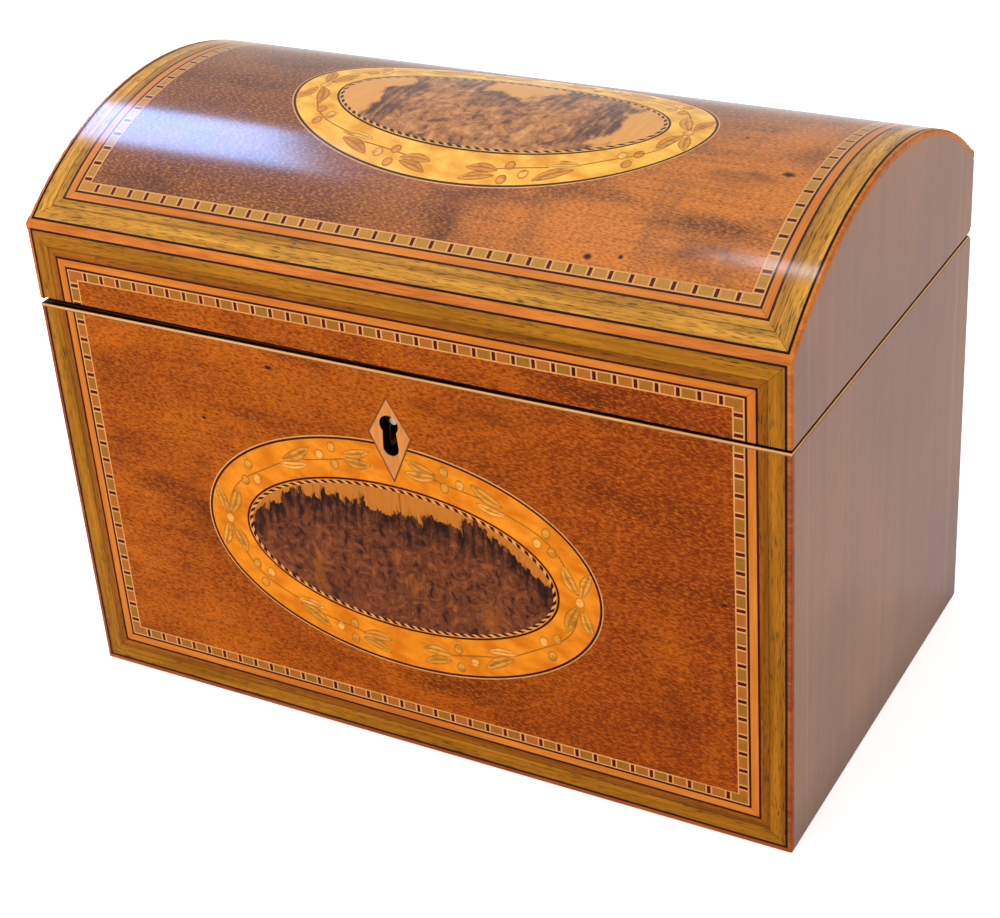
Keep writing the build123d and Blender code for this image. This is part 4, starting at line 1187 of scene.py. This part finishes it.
camera = bpy.data.objects.new("camera", bpy.data.cameras.new("camera"))
camera.data.sensor_width = 36.0
camera.data.lens = 36.0 * focal_share
camera.data.clip_start = 0.01
look = (camera_aim - camera_place).to_track_quat("-Z", "Y").to_matrix()
rolled = look @ Matrix.Rotation(camera_roll, 3, "Z")
camera.matrix_world = Matrix.Translation(camera_place) @ rolled.to_4x4()
bpy.context.scene.collection.objects.link(camera)
bpy.context.scene.camera = camera


# Floor, world and lamps
bpy.context.scene.view_settings.view_transform = "Standard"


def seen_by(tree, *rays):
    """One for a ray of the named sorts and nought for any other."""
    path = add(tree, "LightPath")
    seen = path.outputs[rays[0]]
    for ray in rays[1:]:
        seen = add(tree, "Math", {0: seen, 1: path.outputs[ray]}, operation="MAXIMUM")
    return seen


def floor_finish(tree):
    """Plain pale floor: it is white to the eye and to reflections, and keeps the soft shadow."""
    seen = seen_by(tree, "Is Camera Ray", "Is Glossy Ray", "Is Transmission Ray")
    glow = add(tree, "Math", {0: seen, 1: 0.55}, operation="MULTIPLY")
    return {"Base Color": "#f4f3f1", "Roughness": 0.9, "Emission Color": "#ffffff", "Emission Strength": glow}


reach = 3000.0 * MM
floor_corners = [(-reach, -reach, 0), (reach, -reach, 0), (reach, reach, 0), (-reach, reach, 0)]
floor_mesh = bpy.data.meshes.new("floor")
floor_mesh.from_pydata(floor_corners, [], [(0, 1, 2, 3)])
floor_mesh.materials.append(finish("pale_floor", floor_finish))
floor = bpy.data.objects.new("floor", floor_mesh)
bpy.context.scene.collection.objects.link(floor)

world = bpy.data.worlds.new("studio")
world.use_nodes = True
bpy.context.scene.world = world
tree = world.node_tree
tree.nodes.clear()
level = {"Value": seen_by(tree, "Is Camera Ray", "Is Glossy Ray"), "To Min": 0.8, "To Max": 1.0}
sky = add(tree, "Background", {"Color": "#ffffff", "Strength": add(tree, "MapRange", level)})
add(tree, "OutputWorld", {"Surface": sky})


def softbox(name, place, aim, wide, high, power, colour, roll=0.0):
    """Rectangular lamp of a studio, turned towards a point and rolled by some degrees."""
    lamp = bpy.data.lights.new(name, "AREA")
    lamp.shape = "RECTANGLE"
    lamp.size, lamp.size_y = wide, high
    lamp.energy = power
    lamp.color = srgb(colour)[:3]
    made = bpy.data.objects.new(name, lamp)
    made.location = place
    turned = (Vector(aim) - Vector(place)).to_track_quat("-Z", "Y").to_matrix()
    made.rotation_euler = (turned @ Matrix.Rotation(math.radians(roll), 3, "Z")).to_euler()
    bpy.context.scene.collection.objects.link(made)


def mirrored_from_dome(u, v, away):
    """Place whose reflection the camera sees at a point of the dome, some metres away from it."""
    point = Vector(on_dome(np.array(u), np.array(v), 0.0) * MM)
    normal = Vector((0, math.sin(v / dome_radius), math.cos(v / dome_radius)))
    view = (camera_place - point).normalized()
    return point, point + (2 * normal.dot(view) * normal - view) * away


point, place = mirrored_from_dome(-74.0, -31.0, 1.1)
softbox("window", place, point, 0.28, 0.18, 7.0, "#94bcff", 40.0)
point, place = mirrored_from_dome(97.0, -43.0, 1.1)
softbox("far_window", place, point, 0.06, 0.12, 0.6, "#dce6ff")
softbox("front_softbox", (-0.7, -1.3, 0.9), (0, 0, 0.07), 0.9, 0.9, 16.0, "#fff6ea")
